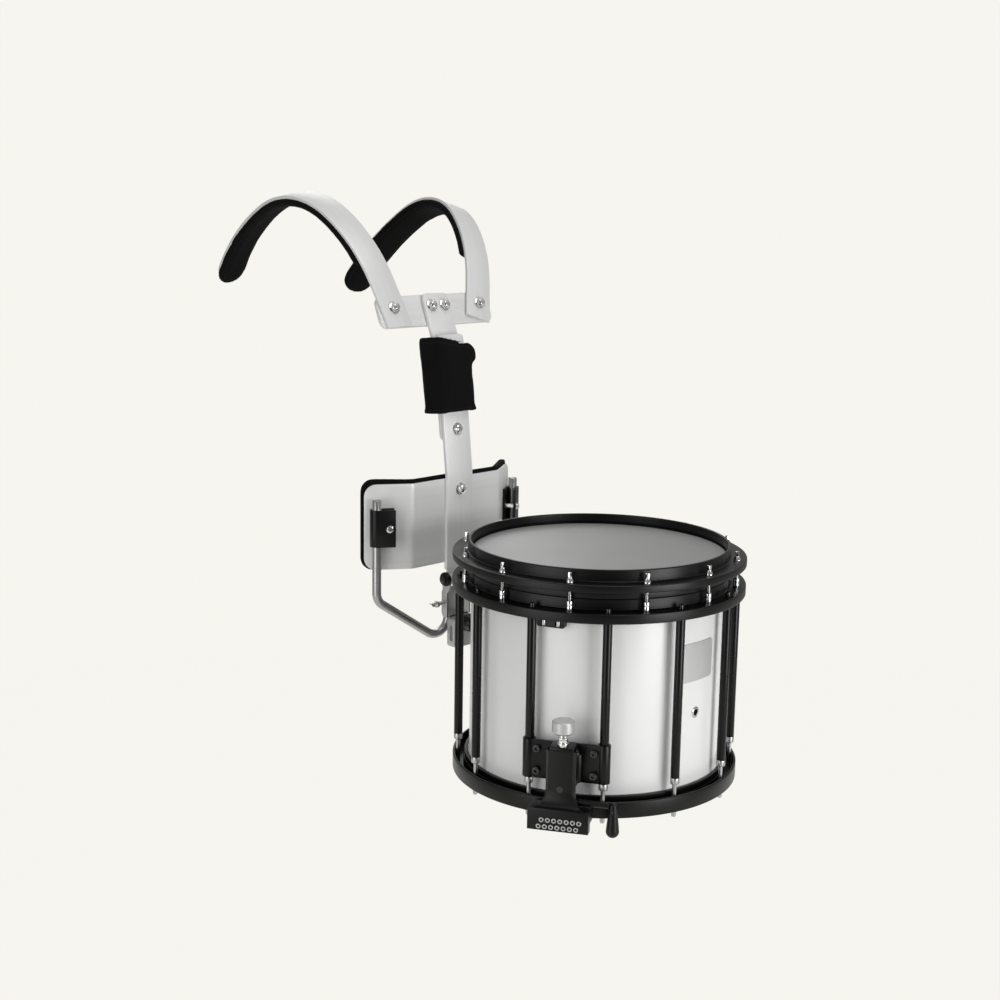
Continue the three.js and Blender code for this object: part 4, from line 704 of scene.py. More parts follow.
block_line = fillet([(-234, -9, 2), (-220.5, -9, 2), (-220.5, 2.2, 1.5), (-204.6, 2.2, 1), (-204.6, 21.6, 1.5),
                     (-234, 21.6, 2)], 0, 4)
make("snare_clamp_block", moved(slab(block_line, -40.5, 40.5, "side", 1.1, 3), STRAINER), BLACK, "clamp", "snare_clamp")
spots = [((i - 3) * 8.3 + 1.6 + k * 1.9, 1.4 + k * 4.5) for i in range(7) for k in (-1, 1)]
row = [socket_screw(3.3, 1.0, "-y", (x, -233.95, z), 1.8) for x, z in spots]
make("snare_clamp_screws", moved(merge(*row), STRAINER), DULL, "clamp")
# Dull black rings round the clamp screws, and discs at the bottom of their sockets, are painted shade.
screw_nests_and_painted_shade = [bore("-y", r, 0.12, (x, y, z), 28) for x, z in spots for r, y in ((3.75, -234), (1.85, -234.42))]
make("snare_clamp_painted_shade", moved(merge(*screw_nests_and_painted_shade), STRAINER), SHADE_BLACK, "clamp")

knurl = [((14.75 if k % 2 else 14.6), math.pi * k / 48) for k in range(96)]
grip = slab([(r * math.cos(a), r * math.sin(a)) for r, a in knurl], 120, 133, "plan", 0.15, 1)
cap = lathe([(0, 116.9), (11.4, 116.9, 0.8), (14.6, 120.0, 1.0), (14.6, 133.8, 0.9), (13.6, 134.9, 0.7),
             (12.4, 135.0, 0.4), (11.9, 134.7, 0.3), (0, 134.6)], 72, 0, 4)
neck = lathe([(0, 74), (6.8, 74), (6.8, 101.2), (7.5, 101.5, 0.3), (7.5, 104.6, 0.7), (6.2, 105.6, 0.4),
              (6.2, 109.2, 0.4), (6.7, 110, 0.3), (6.7, 112, 0.4), (5.7, 113.2, 0.3), (5.7, 117), (0, 117)], 48, 0, 3)
make("strainer_knob_cap", moved(merge(cap, grip), KNOB, STRAINER), TURNED, "knob", "strainer_knob", 25)
make("strainer_knob_neck", moved(neck, KNOB, STRAINER), CHROME, "knob")

blade = [(0, -16)] + arc(0, -7.2, 8.8, -84, 14, 14) + [(8.15, 0), (7.2, 8), (6.3, 16), (5.7, 23)]
blade += arc(0, 26.2, 5.2, 0, 84, 6) + [(0, 31.4)]
stem = lathe([(0, 22.6), (4, 22.6), (4, 64, 1), (0, 64)], 28)
lever = merge(moved(lathe(blade, 48), T(69, -214, 0)), moved(stem, AXES["x"], T(*LEVER)))
make("throw_lever", moved(lever, STRAINER), BLACK, "lever", "throw_off_lever", 50)
pin = turned("-y", [(0, 0), (1.4, 0), (1.1, 0.4), (0, 0.6)], (69, -220.3, 20), 16)
make("throw_lever_pin", moved(pin, STRAINER), BLACK_SCREW, "lever")


def strand(x, turns, steps):
    """A laid cord of three strands along Y, under the snare head."""
    sections = []
    for i in range(steps + 1):
        a = 2 * math.pi * turns * i / steps
        around = [(0.88 + 0.14 * math.cos(3 * (b - a)), b) for b in [2 * math.pi * k / 15 for k in range(15)]]
        sections.append([(x + r * math.cos(b), -201.5 + 403 * i / steps, 8.95 + r * math.sin(b)) for r, b in around])
    return loft(sections)


snares = merge(*[strand((i - 5.5) * 4.6, 26, 150) for i in range(12)])
make("snare_cords", moved(snares, STRAINER), CORD, "drum", "snare_strands", 60)
bars = merge(*[block(-28.5, 28.5, y, y + 4.8, 7.0, 9.9, 0.8, 3) for y in (-204.2, 199.4)])
make("snare_end_bars", moved(bars, STRAINER), STEEL, "drum")

plate, bolts = tube_bracket(47, 84, 9.2)
jaw = slab(rect(-33, 33, 1, 17, 2.5), -216, -204.7, "front", 1.0, 3)
elbow = fillet([(-216, 14), (-216, 51, 5), (-193.6, 51), (-193.6, 47), (-212, 47, 2), (-212, 14)], 0.3, 5)
butt = merge(plate, jaw, slab(elbow, -17, 17, "side", 0.6, 2))
make("butt_plate", moved(butt, BUTT), BLACK, "drum", "butt_bracket")
jaw_screws = [socket_screw(3, 1.4, "-y", ((i - 2.5) * 9.6, -215.95, 7.6)) for i in range(6)]
make("butt_bolts", moved(merge(bolts, *jaw_screws), BUTT), BLACK_SCREW, "drum")

# Drum half of the carrier mount
plate, bolts = tube_bracket(132, 186, 13.5)
beam = slab(rect(-14, 14, 148, 170, 4), -262.1, -193.6, "front", 1.2, 3)
make("mount_plate", moved(merge(plate, beam), MOUNT), BLACK, "drum", "mount_bracket")
sides = [hexagon(6.5, 0, 5.9, axis, (s * 14, -242.2, 159)) for s, axis in SIDES]
make("mount_bolts", moved(merge(bolts, *sides), MOUNT), BLACK_SCREW, "drum")

foot_block = slab(rect(-25, 25, 120.5, 165.5, 6), 262.5, 279.2, "front", 1.2, 3)
pockets = [slab(rect(265.7, 272.7, 131, 155, 3.2), x, x + 6.5, "side", 0) for x in (-28, 21.5)]
make("tilt_block_cast", cut(foot_block, *pockets), CAST, "drum", "tilt_block")
AXLE = (280, 226)
cheek_line = fillet([(279.5, 165, 0.8), (288.7, 165, 2), (291.7, 172, 2), (291.7, 204, 3), (290, 208, 2)], 0, 3, False)
cheek_line += arc(*AXLE, 10, 0, 180, 24) + fillet([(270, 220, 0), (276.5, 207, 2), (279.5, 204, 1)], 0, 3, False)[1:]
cheeks = [slab(cheek_line, x - 1.5, x + 1.5, "side", 0.6, 2) for x in (-23.5, 23.5)]
web = slab(rect(-24.5, 24.5, 165, 213, 1), 279.5, 282.5, "front", 0.5, 2)
tongue = slab(fillet([(-20, 126, 4), (20, 126, 4), (20, 168, 0), (-20, 168, 0)], 0, 5), 279.5, 282.5, "front", 0.6, 2)
near = cut(merge(cheeks[0]), bore("x", 5.3, 60, (-30, *AXLE)), bore("x", 3.3, 8, (-28, 285.9, 188), 24))
far = cut(merge(cheeks[1]), bore("x", 5.3, 60, (-30, *AXLE)))
make("tilt_bracket_cast", merge(near, far, web, tongue), CAST, "drum", "tilt_bracket")

cap_line = [(0, -27), (4.9, -27), (4.9, 0.2), (10.8, 0.2, 0.8), (10.8, 4.6, 1.8), (8.4, 7.2, 1), (0, 7.5)]
caps = [turned(axis, cap_line, (s * 25.3, *AXLE), 40, 0, 4) for s, axis in SIDES]
make("tilt_axle_caps", merge(*caps), BLACK, "carrier", "tilt_axle")
ends = [hexagon(6.2, 7.0, 9.9, axis, (s * 25.3, *AXLE)) for s, axis in SIDES]
make("tilt_axle_nuts", merge(*ends), BLACK_SCREW, "carrier")
screw_shank = [(0, 0)]
z = 0.5
while z < 19:
    screw_shank += [(2.7, z), (3.0, z + 0.45)]
    z += 0.9
screw_shank += [(3.0, 20), (5, 20.4, 0.5), (5, 24, 0.8), (3.4, 25.4), (3.2, 29.9), (0, 29.9)]
turns = [2 * math.pi * k / 16 for k in range(16)]
wing = [[(h * math.cos(a), w * math.sin(a), z) for a in turns] for h, w, z in (
    (1.6, 3.6, 22.5), (1.6, 5.5, 24), (1.5, 8.2, 26), (1.4, 9.6, 28), (1.2, 9.8, 29), (0.6, 9.0, 29.9))]
wing_screw = moved(merge(lathe(screw_shank, 28), loft(wing)), R(180, "Z"), AXES["-x"], T(-17.6, 285.9, 188))
make("tilt_wing_screw", wing_screw, DULL, "screw", "tilt_screw", 40)


# ---------------------------------------------------------------- carrier bars
def ease(u, w):
    """A ramp that starts at zero with a soft corner of half length w, and its slope."""
    if u <= -w:
        return 0.0, 0.0
    if u >= w:
        return u, 1.0
    return (u + w) ** 2 / (4 * w), (u + w) / (2 * w)


LEAN = math.tan(math.radians(6.6))
YOKE_LEAN = math.tan(math.radians(22))


def lower_front(z):
    rise, slope = ease(z - 385, 10)
    return 279.5 + LEAN * rise, LEAN * slope


def upper_front(z):
    rise, slope = ease(z - 572.38, 22)
    return 291.627 + (z - 435) * LEAN + (YOKE_LEAN - LEAN) * rise, LEAN + (YOKE_LEAN - LEAN) * slope


def bisect(bm, place, normal):
    geom = bm.verts[:] + bm.edges[:] + bm.faces[:]
    bmesh.ops.bisect_plane(bm, geom=geom, plane_co=place, plane_no=normal)


def bent_bar(outline, front, bevel=0.9, tools=(), stations=()):
    """A flat bar of an outline, 6 mm thick, bent to a front line y(z)."""
    bm = slab(outline, 0, 6, "front", bevel, 2)
    if tools:
        bm = cut(bm, *tools)
    for z in stations:
        bisect(bm, (0, 0, z), (0, 0, 1))
    for v in bm.verts:
        y, slope = front(v.co.z)
        c = math.hypot(1, slope)
        v.co = (v.co.x, y + v.co.y / c, v.co.z - v.co.y * slope / c)
    return bm


def along_z(co):
    return (co.z, co.x)


def long_hole(z0, z1, half=4.5, depth=10):
    return slab(rect(-half, half, z0, z1, half - 0.01, 8), -depth, depth + 10, "front", 0)


lower_outline = fillet([(-21.6, 228, 1), (-21.6, 240, 3), (-26, 240, 1.5), (-26, 592, 9), (26, 592, 9), (26, 240, 1.5),
                        (21.6, 240, 3), (21.6, 228, 1)], 1, 6)
stations = [375 + 2 * k for k in range(11)] + [300, 450, 520]
lower = bent_bar(lower_outline, lower_front, 0.9, [long_hole(477, 548)], stations)
make("lower_bar", lower, BAR, "carrier", "lower_spine", 30, along_z)
knuckle = turned("x", [(5.3, -21.6), (9, -21.6, 1), (9, 21.6, 1), (5.3, 21.6)], (0, *AXLE), 40, 0, 3)
make("lower_bar_knuckle", knuckle, TURNED, "carrier")

upper_outline = rect(-26, 26, 435, 651.4, 9, 6)
bolt_holes = [bore("y", 4.3, 30, (x, 0, 629), 24, -20) for x in (-13, 13)]
stations = [550 + 3 * k for k in range(16)] + [480, 520]
upper = bent_bar(upper_outline, upper_front, 0.9, [long_hole(444, 505)] + bolt_holes, stations)
make("upper_bar", upper, BAR, "yoke", "upper_spine", 30, along_z)


def dome_bolt(axis_at, depth=0.0, rise=1.0):
    """Washer, hexagon nut and domed top, standing out along -Y from a face at y 0. A lower rise makes it flatter."""
    washer = lathe([(0, 0), (9.4, 0, 0.3), (9.4, 1.3, 0.5), (4, 1.3), (4, 0.6), (0, 0.6)], 40, 0, 3)
    nut_part = hexagon(8.6, 1.25, 5.2)
    dome = lathe([(0, 1.2), (6.6, 1.2), (6.6, 5.1, 0.4), (6.2, 6.6, 1.2), (4.6, 8.4, 1.6), (0, 9.1)], 40, 0, 4)
    stud = rod(3.9, -depth, 1, 20)
    return moved(merge(washer, nut_part, dome, stud), Matrix.Diagonal((1, 1, rise, 1)), AXES["-y"], axis_at)


def at_front(front, z, lean):
    return T(0, front(z)[0], z) @ R(-lean, "X")


# The two bolts of the sliding joint are flatter, because the upper one runs inside the chest sleeve
slide_bolt = at_front(lower_front, 452, 6.6)
carrier_bolts = [dome_bolt(slide_bolt, 16, 0.74)] + [dome_bolt(T(0, 279.5, z), 9) for z in (362, 268)]
back_nut = moved(hexagon(7, 0, 3), AXES["y"], slide_bolt @ T(0, 12.6, 0))
make("carrier_bolts", merge(*carrier_bolts, back_nut), CHROME, "carrier", angle=28)
hidden = dome_bolt(at_front(lower_front, 541, 6.6) @ T(0, -0.3, 0), 12, 0.74)
make("hidden_bolt", hidden, CHROME, "yoke", angle=28)

YOKE = T(0, 338, 631) @ R(-22, "X")
bar_shape = slab(rect(-113, 113, -28.5, 19.5, 12, 8), 0, 6, "front", 0.9, 2)
make("cross_bar_drawn", moved(bar_shape, YOKE), BAR, "yoke", "cross_bar", 30,
     lambda co: (co.x, co.z * 1.08))
for letter, x, lift in (("r", -87, 5.6), ("m", -13, 6.6), ("n", 13, 6.6), ("l", 87, 5.6)):
    bolt = dome_bolt(YOKE @ T(x, -lift, 0), lift + 2)
    make(f"yoke_bolt_{letter}", bolt, CHROME, "yoke", angle=28)


# ---------------------------------------------------------------- shoulder straps and their pads
def hook_line(bends, per=14):
    """Points of a strap's inner face as (run, y, z, turn) from its lower end to its tip."""
    out = [(-38.0, 0.0, -38.0, 0.0), (0.0, 0.0, 0.0, 0.0), (40.0, 0.0, 40.0, 0.0)]
    run, y, z, turn = out[-1]
    for length, bend in zip((130.6, 137.5, 178.5), bends):
        n = per if length < 150 else per + 4
        for _ in range(n):
            heading = math.radians(turn + bend / n / 2)
            y += length / n * math.sin(heading)
            z += length / n * math.cos(heading)
            turn += bend / n
            run += length / n
            out.append((run, y, z, turn))
    return out


def on_hook(line, run):
    if run >= line[-1][0]:
        r, y, z, turn = line[-1]
        h = math.radians(turn)
        return y + (run - r) * math.sin(h), z + (run - r) * math.cos(h), turn
    i = next(k for k, s in enumerate(line) if s[0] >= run)
    if i == 0:
        return line[0][1:]
    a, b = line[i - 1], line[i]
    t = (run - a[0]) / (b[0] - a[0])
    return tuple(p + (q - p) * t for p, q in zip(a[1:], b[1:]))


def hook_band(line, runs, section):
    """A loft whose section is a function of the run and gives (x, off) points; off is outward from the inner face."""
    rows = []
    for run in runs:
        y, z, turn = on_hook(line, run)
        h = math.radians(turn)
        rows.append([(x, y - math.cos(h) * off, z + math.sin(h) * off) for x, off in section(run)])
    return loft(rows)


# Each strap's side of X, its swivel outward and the bends of its three stretches
HOOKS = {"right": (1, 10.5, (33, 60.7, 31.2)), "left": (-1, 19.3, (33.7, 66.3, 26.2))}
STRAP_HALF = 23.0
PAD_HALF = 27.5
PAD_START = 77
SEAM_START = 85


def round_end(half, tip, run, least):
    """Half the width at a run, with a round tip."""
    if run > tip - half:
        return max(math.sqrt(max(half ** 2 - (run - tip + half) ** 2, 0)), least)
    return half


def end_runs(half, tip, count):
    """Runs that close in on a round tip."""
    return [tip - half + half * math.sin(math.radians(90 * k / count)) * 0.999 for k in range(1, count + 1)]


def strap_shape(line, tail):
    tip = line[-1][0]

    def section(run):
        h = round_end(STRAP_HALF, tip, run, 1.6)
        side = [(h - 0.9, 0.3), (h - 0.27, 0.57), (h, 1.2), (h, 4.4), (h - 0.27, 5.03), (h - 0.9, 5.3)]
        return side + [(-x, off) for x, off in reversed(side)]
    runs = [tail, 0] + [40 + k * (tip - 40 - STRAP_HALF) / 60 for k in range(61)]
    return hook_band(line, runs + end_runs(STRAP_HALF, tip, 10), section)


def strap_place(sign, swivel):
    return YOKE @ T(-sign * 87, 0, 0) @ R(-sign * swivel, "Y")


def strap_uv(place):
    back = place.inverted()

    def uv(co):
        p = back @ Vector((co.x * 1000, co.y * 1000, co.z * 1000 + H))
        return (math.atan2(p.y - 60, p.z - 60) * 0.11, p.x / 1000)
    return uv


def cushion(half, thick):
    """Closed pad section, flat on the backed side: (across, depth) with a soft rim."""
    pts = [(0.955, 0.0), (0.985, 0.12), (1.0, 0.3), (0.992, 0.5), (0.965, 0.68), (0.91, 0.82), (0.83, 0.92),
           (0.68, 0.975), (0.45, 0.995), (0.2, 1.0)]
    right = [(x * half, d * thick) for x, d in pts]
    return right + [(-x, d) for x, d in reversed(right)]


for side, (sign, swivel, bends) in HOOKS.items():
    place = strap_place(sign, swivel)
    line = hook_line(bends)
    tool = bore("y", 4.3, 20, (0, 0, 0), 28, -20)
    # The right strap is trimmed along the cross bar's lower edge, as the photograph shows
    trim = moved(block(-80, 80, -40, 40, -90, -28.4, 0), place.inverted() @ YOKE @ T(-sign * 87, 0, 0))
    band = cut(strap_shape(line, -38), tool, trim) if side == "right" else cut(strap_shape(line, -25), tool)
    make(f"strap_band_{side}", moved(band, place), BAND, f"{side}_strap", f"shoulder_strap_{side}", 30,
         strap_uv(place))


def puffed(name, bm, voxel, held, cap=1.8, pressure=4.0):
    """Fills a closed cushion form: voxel remesh, a short cloth simulation under inner pressure with the
    backed face held, a cap on how far any point may move, and one subdivision. The mesh is in row metres."""
    bmesh.ops.triangulate(bm, faces=[f for f in bm.faces if len(f.verts) > 4])
    o = linked(name + "_form", mesh_from(name, moved(bm, TO_ROW)))
    remesh = o.modifiers.new("remesh", "REMESH")
    remesh.mode = "VOXEL"
    remesh.voxel_size = voxel / 1000 * 1
    o.data = mesh_of(o)
    o.modifiers.clear()
    start = [v.co.copy() for v in o.data.vertices]
    group = o.vertex_groups.new(name="held")
    for i, co in enumerate(start):
        weight = held(Vector((co.x * 1000, co.y * 1000, co.z * 1000 + H)))
        if weight > 0:
            group.add([i], weight, "REPLACE")
    cloth = o.modifiers.new("cloth", "CLOTH")
    cloth.settings.use_pressure = True
    cloth.settings.uniform_pressure_force = pressure
    cloth.settings.effector_weights.gravity = 0
    cloth.settings.vertex_group_mass = "held"
    cloth.settings.quality = 5
    cloth.point_cache.frame_start, cloth.point_cache.frame_end = 1, 20
    for f in range(1, 21):
        bpy.context.scene.frame_set(f)
    full = mesh_of(o)
    coords = [v.co.copy() for v in full.vertices]
    bpy.context.scene.frame_set(1)
    o.modifiers.clear()
    limit = cap / 1000
    for v, a, b in zip(o.data.vertices, start, coords):
        step = b - a
        if step.length > limit:
            step *= limit / step.length
        v.co = a + step
    smooth = o.modifiers.new("fine", "SUBSURF")
    smooth.levels = 1
    o.data = mesh_of(o)
    o.modifiers.clear()
    out = o.data
    bpy.data.objects.remove(o)
    for p in out.polygons:
        p.use_smooth = True
    return out


def cushion_piece(name, bm, voxel, held, body, node, cap=1.8, pressure=4.0):
    mesh = puffed(name, bm, voxel, held, cap, pressure)
    mesh.materials.clear()
    mesh.materials.append(FOAM)
    o = make(name, None, FOAM, body, node, mesh=mesh)
    return o


def stitches(name, cushion, path, body, pitch=4.2, length=2.9, thick=0.42):
    """A sewn seam: small sunk stitches along a closed or open path, laid on a cushion's face."""
    verts = [v.co.copy() for v in cushion.data.vertices]
    tree = BVHTree.FromPolygons(verts, [tuple(p.vertices) for p in cushion.data.polygons])
    points = [TO_ROW @ Vector(p) for p in path]
    runs = [0.0]
    for a, b in zip(points, points[1:]):
        runs.append(runs[-1] + (b - a).length)
    count = int(runs[-1] / (pitch / 1000))
    out = bmesh.new()
    j = 0
    for i in range(count):
        s = (i + 0.5) * runs[-1] / count
        while runs[j + 1] < s:
            j += 1
        t = (s - runs[j]) / (runs[j + 1] - runs[j])
        at = points[j].lerp(points[j + 1], t)
        way = (points[j + 1] - points[j]).normalized()
        hit, normal, _, _ = tree.find_nearest(at)
        if hit is None:
            continue
        way = (way - normal * way.dot(normal)).normalized()
        side = normal.cross(way)
        spot = hit + normal * (thick * 0.00035)
        ends = []
        for u, w in ((-0.5, 0.25), (-0.4, 0.8), (-0.2, 1.0), (0.2, 1.0), (0.4, 0.8), (0.5, 0.25)):
            middle = spot + way * (u * length / 1000)
            sag = -abs(u) ** 2 * thick * 0.004
            wide = w * thick / 1000
            around = [math.pi * 2 * k / 6 for k in range(6)]
            ends.append([out.verts.new(middle + side * (math.cos(a) * wide) + normal * (math.sin(a) * wide + sag))
                         for a in around])
        for a, b in zip(ends, ends[1:]):
            for k in range(6):
                out.faces.new((a[k], a[(k + 1) % 6], b[(k + 1) % 6], b[k]))
        out.faces.new(ends[0][::-1])
        out.faces.new(ends[-1])
    out.transform(TO_ROW.inverted())
    make(name, out, THREAD, body, angle=60)


for side, (sign, swivel, bends) in HOOKS.items():
    place = strap_place(sign, swivel)
    line = hook_line(bends)
    tip = line[-1][0] + 8

    def pad_section(run):
        half = round_end(PAD_HALF, tip, run, 2.5) - max(PAD_START + 2 - run, 0) * 0.6
        lower, upper = 0.55 + 0.45 * max(run - PAD_START, 0) / 7, 0.55 + 0.45 * half / PAD_HALF * 1.4
        return [(x, -d - 0.05) for x, d in cushion(half, 10.4 * min(1.0, lower, upper))]

    first = PAD_START + 10
    runs = [PAD_START + d for d in (0, 0.8, 2, 4, 7)]
    runs += [first + k * (tip - PAD_HALF - first) / 57 for k in range(58)] + end_runs(PAD_HALF, tip, 12)
    form = moved(hook_band(line, runs, pad_section), place)
    back = place.inverted()
    spine_pts = [(s[1], s[2]) for s in line if s[0] > 60]

    def on_band(p):
        q = back @ p
        best = 1e9
        for (ya, za), (yb, zb) in zip(spine_pts, spine_pts[1:]):
            vy, vz = yb - ya, zb - za
            t = max(0.0, min(1.0, ((q.y - ya) * vy + (q.z - za) * vz) / (vy * vy + vz * vz)))
            best = min(best, math.hypot(q.y - ya - vy * t, q.z - za - vz * t))
        return 1.0 if best < 1.6 else 0.0

    pad = cushion_piece(f"shoulder_pad_foam_{side}", form, 3.0, on_band, f"{side}_strap", f"shoulder_pad_{side}", 1.5,
                        4.0)
    path = []
    steps = [SEAM_START + k * (tip - PAD_HALF - SEAM_START) / 60 for k in range(61)]
    turns = [math.radians(9 * k) for k in range(1, 20)]
    rim = [(r, 21.5) for r in steps] + [(tip - PAD_HALF + 21.5 * math.sin(a), 21.5 * math.cos(a)) for a in turns]
    rim += [(r, -21.5) for r in reversed(steps)] + [(SEAM_START, 0), (SEAM_START, 21.5)]
    for run, x in rim:
        y, z, turn = on_hook(line, run)
        h = math.radians(turn)
        path.append(place @ Vector((x, y + math.cos(h) * 11, z - math.sin(h) * 11)))
    stitches(f"shoulder_pad_seam_{side}", pad, path, f"{side}_strap")


# ---------------------------------------------------------------- chest sleeve
SLEEVE_HALF = 26.3


def sleeve_walls(share):
    """Y of the sleeve's inner front and back walls, at a share of its height."""
    return 282.66 + 13.075 * share, 306.2 + 18.44 * share


def chest_sections(rows):
    out = []
    for share, bulge, splay, flap in rows:
        z = 478 + 113 * share
        front, rear = sleeve_walls(share)
        swell = bulge * 1.6
        half = 32 + swell + splay * 6
        y0, y1 = front - 2.8 - swell, rear + 20 + swell
        pts = []
        far = half + flap * 10
        for x, y in fillet([(-half, y0, 7), (far, y0, 7), (far, y1, 12), (-half, y1, 12)], 7, 6):
            drop = (y - y0) * LEAN + (13 * share * (x + half)) / (2 * half)
            pts.append((x, y, z - drop))
        out.append(pts)
    return out


# Rows of the sleeve: share of its height, bulge, splay of the lower rim, and the flap on the player's left
CHEST = [[0, -0.6, 1, 0], [0.015, -0.1, 0.9, 0], [0.05, 0.4, 0.6, 0], [0.12, 0.6, 0.35, 0], [0.3, 1, 0.15, 0],
         [0.45, 1.05, 0.05, 0], [0.55, 1, 0, 0], [0.66, 0.95, 0, 0.02], [0.71, 0.9, 0, 0.12], [0.735, 0.85, 0, 0.45],
         [0.76, 0.8, 0, 0.75], [0.81, 0.7, 0, 0.95], [0.86, 0.6, 0, 1], [0.91, 0.45, 0, 0.93], [0.95, 0.25, 0, 0.75],
         [0.98, -0.1, 0, 0.4], [1, -0.7, 0, 0.1]]
outer = loft(chest_sections(CHEST))
inner_rows = []
for z in (460, 478, 591, 600):
    front, rear = sleeve_walls((z - 478) / 113)
    inner_rows.append([(x, y, z) for x, y in ((-SLEEVE_HALF, front), (SLEEVE_HALF, front), (SLEEVE_HALF, rear),
                                              (-SLEEVE_HALF, rear))])
sleeve = cut(outer, loft(inner_rows))


def in_sleeve(p):
    front, rear = sleeve_walls((p.z - 478) / 113)
    return 1.0 if max(abs(p.x) - SLEEVE_HALF, front - p.y, p.y - rear) < 1.3 else 0.0


chest = cushion_piece("chest_pad_sleeve", sleeve, 1.9, in_sleeve, "yoke", "chest_pad", 1.6, 5.0)
for name, *row in (("top", 0.93, 1.2, 0, 0.9), ("bottom", 0.05, 1.2, 0.5, 0)):
    section = chest_sections([row])[0]
    path = [Vector(p) for p in section + section[:1]]
    dense = [path[i].lerp(path[i + 1], t / 4) for i in range(len(path) - 1) for t in range(4)] + [path[-1]]
    stitches(f"chest_pad_seam_{name}", chest, dense, "yoke", 3.6, 2.5, 0.36)
back_seam = [Vector((26, 336 + 16 * k / 20, 484 + 96 * k / 20)) for k in range(21)]
stitches("chest_pad_seam_back", chest, back_seam, "yoke", 3.6, 2.5, 0.36)


# ---------------------------------------------------------------- belly plate, its pad and the rod clamps
WING_TURN = math.radians(33.3)


def wing_place(u, d):
    """A point of the bent plate's plan: u along it from the middle, d towards the player from its front."""
    w, turn = 4.5, WING_TURN
    s, over = (1 if u >= 0 else -1), abs(u) - (90 - w)
    if over <= 0:
        return u, 285.8 + d
    radius = 2 * w / turn
    a = min(over / radius, turn)
    x = 90 - w + radius * math.sin(a)
    y = 285.8 + radius * (1 - math.cos(a))
    rest = max(over - 2 * w, 0)
    x += rest * math.cos(turn) - d * math.sin(a)
    y += rest * math.sin(turn) + d * math.cos(a)
    return s * x, y


def bend_wings(bm, step=12):
    cuts = [s * (83 + 1.5 * k) for k in range(10) for s in (-1, 1)] + [k * step for k in range(-14, 15)]
    for u in cuts:
        bisect(bm, (u, 0, 0), (1, 0, 0))
    for v in bm.verts:
        x, y = wing_place(v.co.x, v.co.y)
        v.co = (x, y, v.co.z)
    return bm


plate_body = slab(rect(-162, 162, 251, 379, 18, 10), 0, 4, "front", 0.8, 2)
plate_holes = [bore("y", 4.3, 30, (0, 0, z), 24, -20) for z in (268, 362)]
plate_body = bend_wings(cut(plate_body, *plate_holes), 40)
make("belly_plate_bent", plate_body, PLATE, "carrier", "belly_plate", 30, lambda co: (co.x, co.z))

pad_form = slab(rect(-166.6, 166.6, 249.4, 386.6, 19, 12), 4.35, 15.2, "front", 0)
rims = [e for e in pad_form.edges if all(abs(v.co.y - 15.2) < 1e-4 for v in e.verts) and len(e.link_faces) == 2
        and any(len(f.verts) > 8 for f in e.link_faces)]
soften(pad_form, rims, 5.0, 5)
pad_form = bend_wings(pad_form, 12)


def on_plate(p):
    dx, dy = abs(p.x) - 90, p.y - 285.8
    depth = dy if dx < -2 and dy < 20 else dy * math.cos(WING_TURN) - dx * math.sin(WING_TURN)
    return 1.0 if depth < 6.2 else 0.0


belly = cushion_piece("belly_pad_foam", pad_form, 3.4, on_plate, "carrier", "belly_pad", 2.2, 4.0)
loop = rect(-157, 157, 259, 377, 14, 8) + [(157, 273)]
dense = []
for (x0, z0), (x1, z1) in zip(loop, loop[1:]):
    n = max(int(math.hypot(x1 - x0, z1 - z0) / 6), 1)
    dense += [(x0 + (x1 - x0) * k / n, z0 + (z1 - z0) * k / n) for k in range(n)]
stitches("belly_pad_seam", belly, [Vector((*wing_place(x, 17), z)) for x, z in dense], "carrier")

WING = T(90, 285.8, 0) @ R(33.3, "Z")
MIRROR = Matrix.Diagonal((-1, 1, 1, 1))


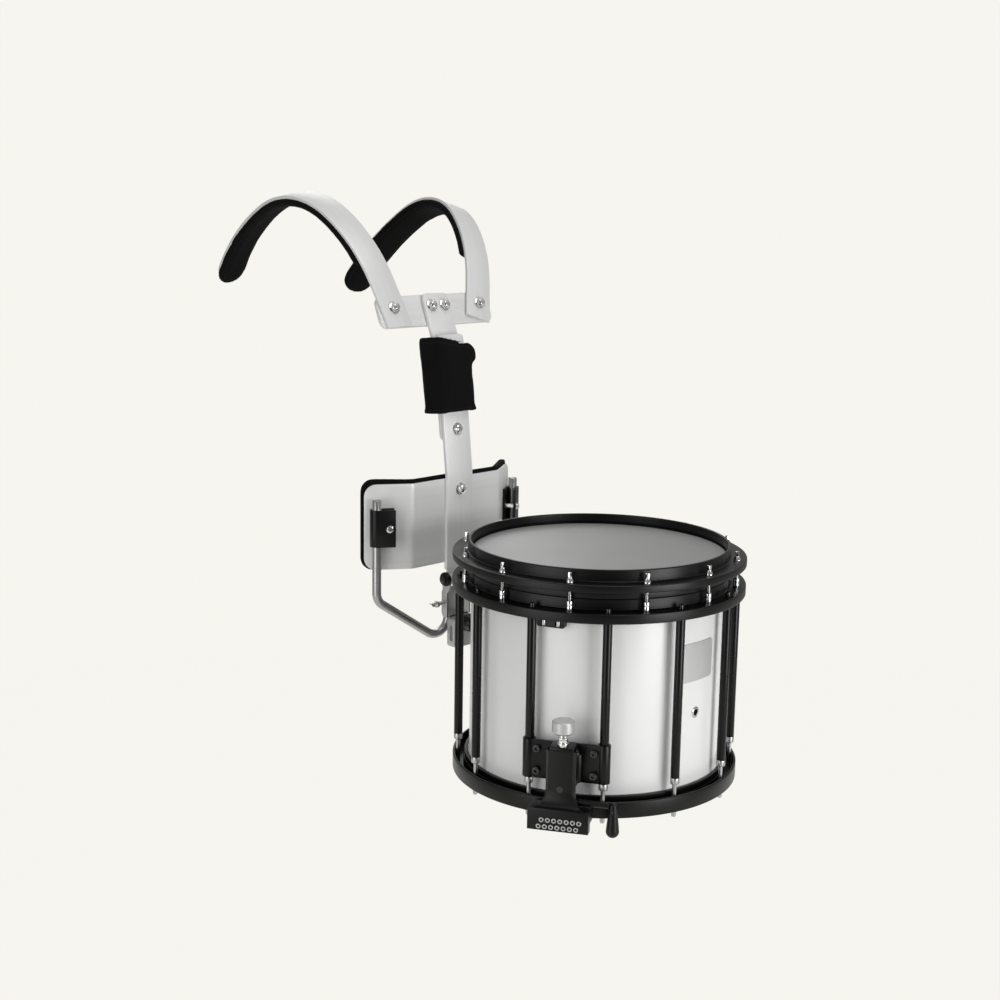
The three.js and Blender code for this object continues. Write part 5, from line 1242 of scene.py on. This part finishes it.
def clamp_outline():
    x, y, outer, inner, ear = 55.0, -10.45, 10.15, 6.65, 27.0
    pts = [(x - ear, y - outer, 1.6), *arc(x, y, outer, -90, 90, 24), (x - ear, y + outer, 0.5)]
    pts += [(x - ear, y + inner, 0.5), *arc(x, y, inner, 90, -90, 20), (x - ear, y - inner, 0.5)]
    return fillet(pts, 0, 3)


def sweep(path, radius, n=28):
    """A round bar along points of a plane (u, z), with its ends turned down."""
    rows = []
    for i, (u, z) in enumerate(path):
        a, b = path[max(i - 1, 0)], path[min(i + 1, len(path) - 1)]
        du, dz = b[0] - a[0], b[1] - a[1]
        size = math.hypot(du, dz)
        nu, nz = -dz / size, du / size
        r = radius - (0.7 if i in (0, len(path) - 1) else 0)
        turns = [2 * math.pi * k / n for k in range(n)]
        rows.append([(u + nu * r * math.cos(t), r * math.sin(t), z + nz * r * math.cos(t)) for t in turns])
    return loft(rows)


hook_arc = arc(108.434, 163, 24, -123.6, 0, 24)
bend_arc = arc(22, 218.03, 22, 180, 236.4, 16)
straight = [tuple(Vector(bend_arc[-1]).lerp(Vector(hook_arc[0]), t)) for t in (0.25, 0.5, 0.75)]
rod_path = [(0, 358), (0, 357.3), (0, 300)] + bend_arc + straight + hook_arc + [(132.434, 195.4), (132.434, 196)]
ROD = T(141.7067, 307.2621, 0) @ R(180 + math.degrees(math.atan2(307.2621 - 293.4, 141.7067 - 10)), "Z")
for side, mirror in (("right", MIRROR), ("left", Matrix.Identity(4))):
    body = slab(clamp_outline(), 289, 344, "plan", 0.45, 2)
    make(f"rod_clamp_folded_{side}", moved(body, WING, mirror), BLACK, "carrier", f"rod_clamp_{side}")
    washer = lathe([(0, 0), (5.6, 0, 0.2), (5.6, 0.9, 0.3), (0, 0.9)], 32, 0, 2)
    bolt_head = moved(merge(washer, socket_screw(4.6, 3.1, "z", (0, 0, 0.85))), AXES["-y"], T(37, -20.55, 316.5))
    stem = bore("y", 3.4, -0.6, (37, 0, 316.5), 24, -20.6)
    make(f"rod_clamp_bolt_{side}", moved(merge(bolt_head, stem), WING, mirror), CHROME, "carrier")
    make(f"j_rod_bent_{side}", moved(sweep(rod_path, 6.6), ROD, mirror), ROD_STEEL, f"{side}_rod", f"j_rod_{side}",
         60)

bpy.context.view_layer.update()
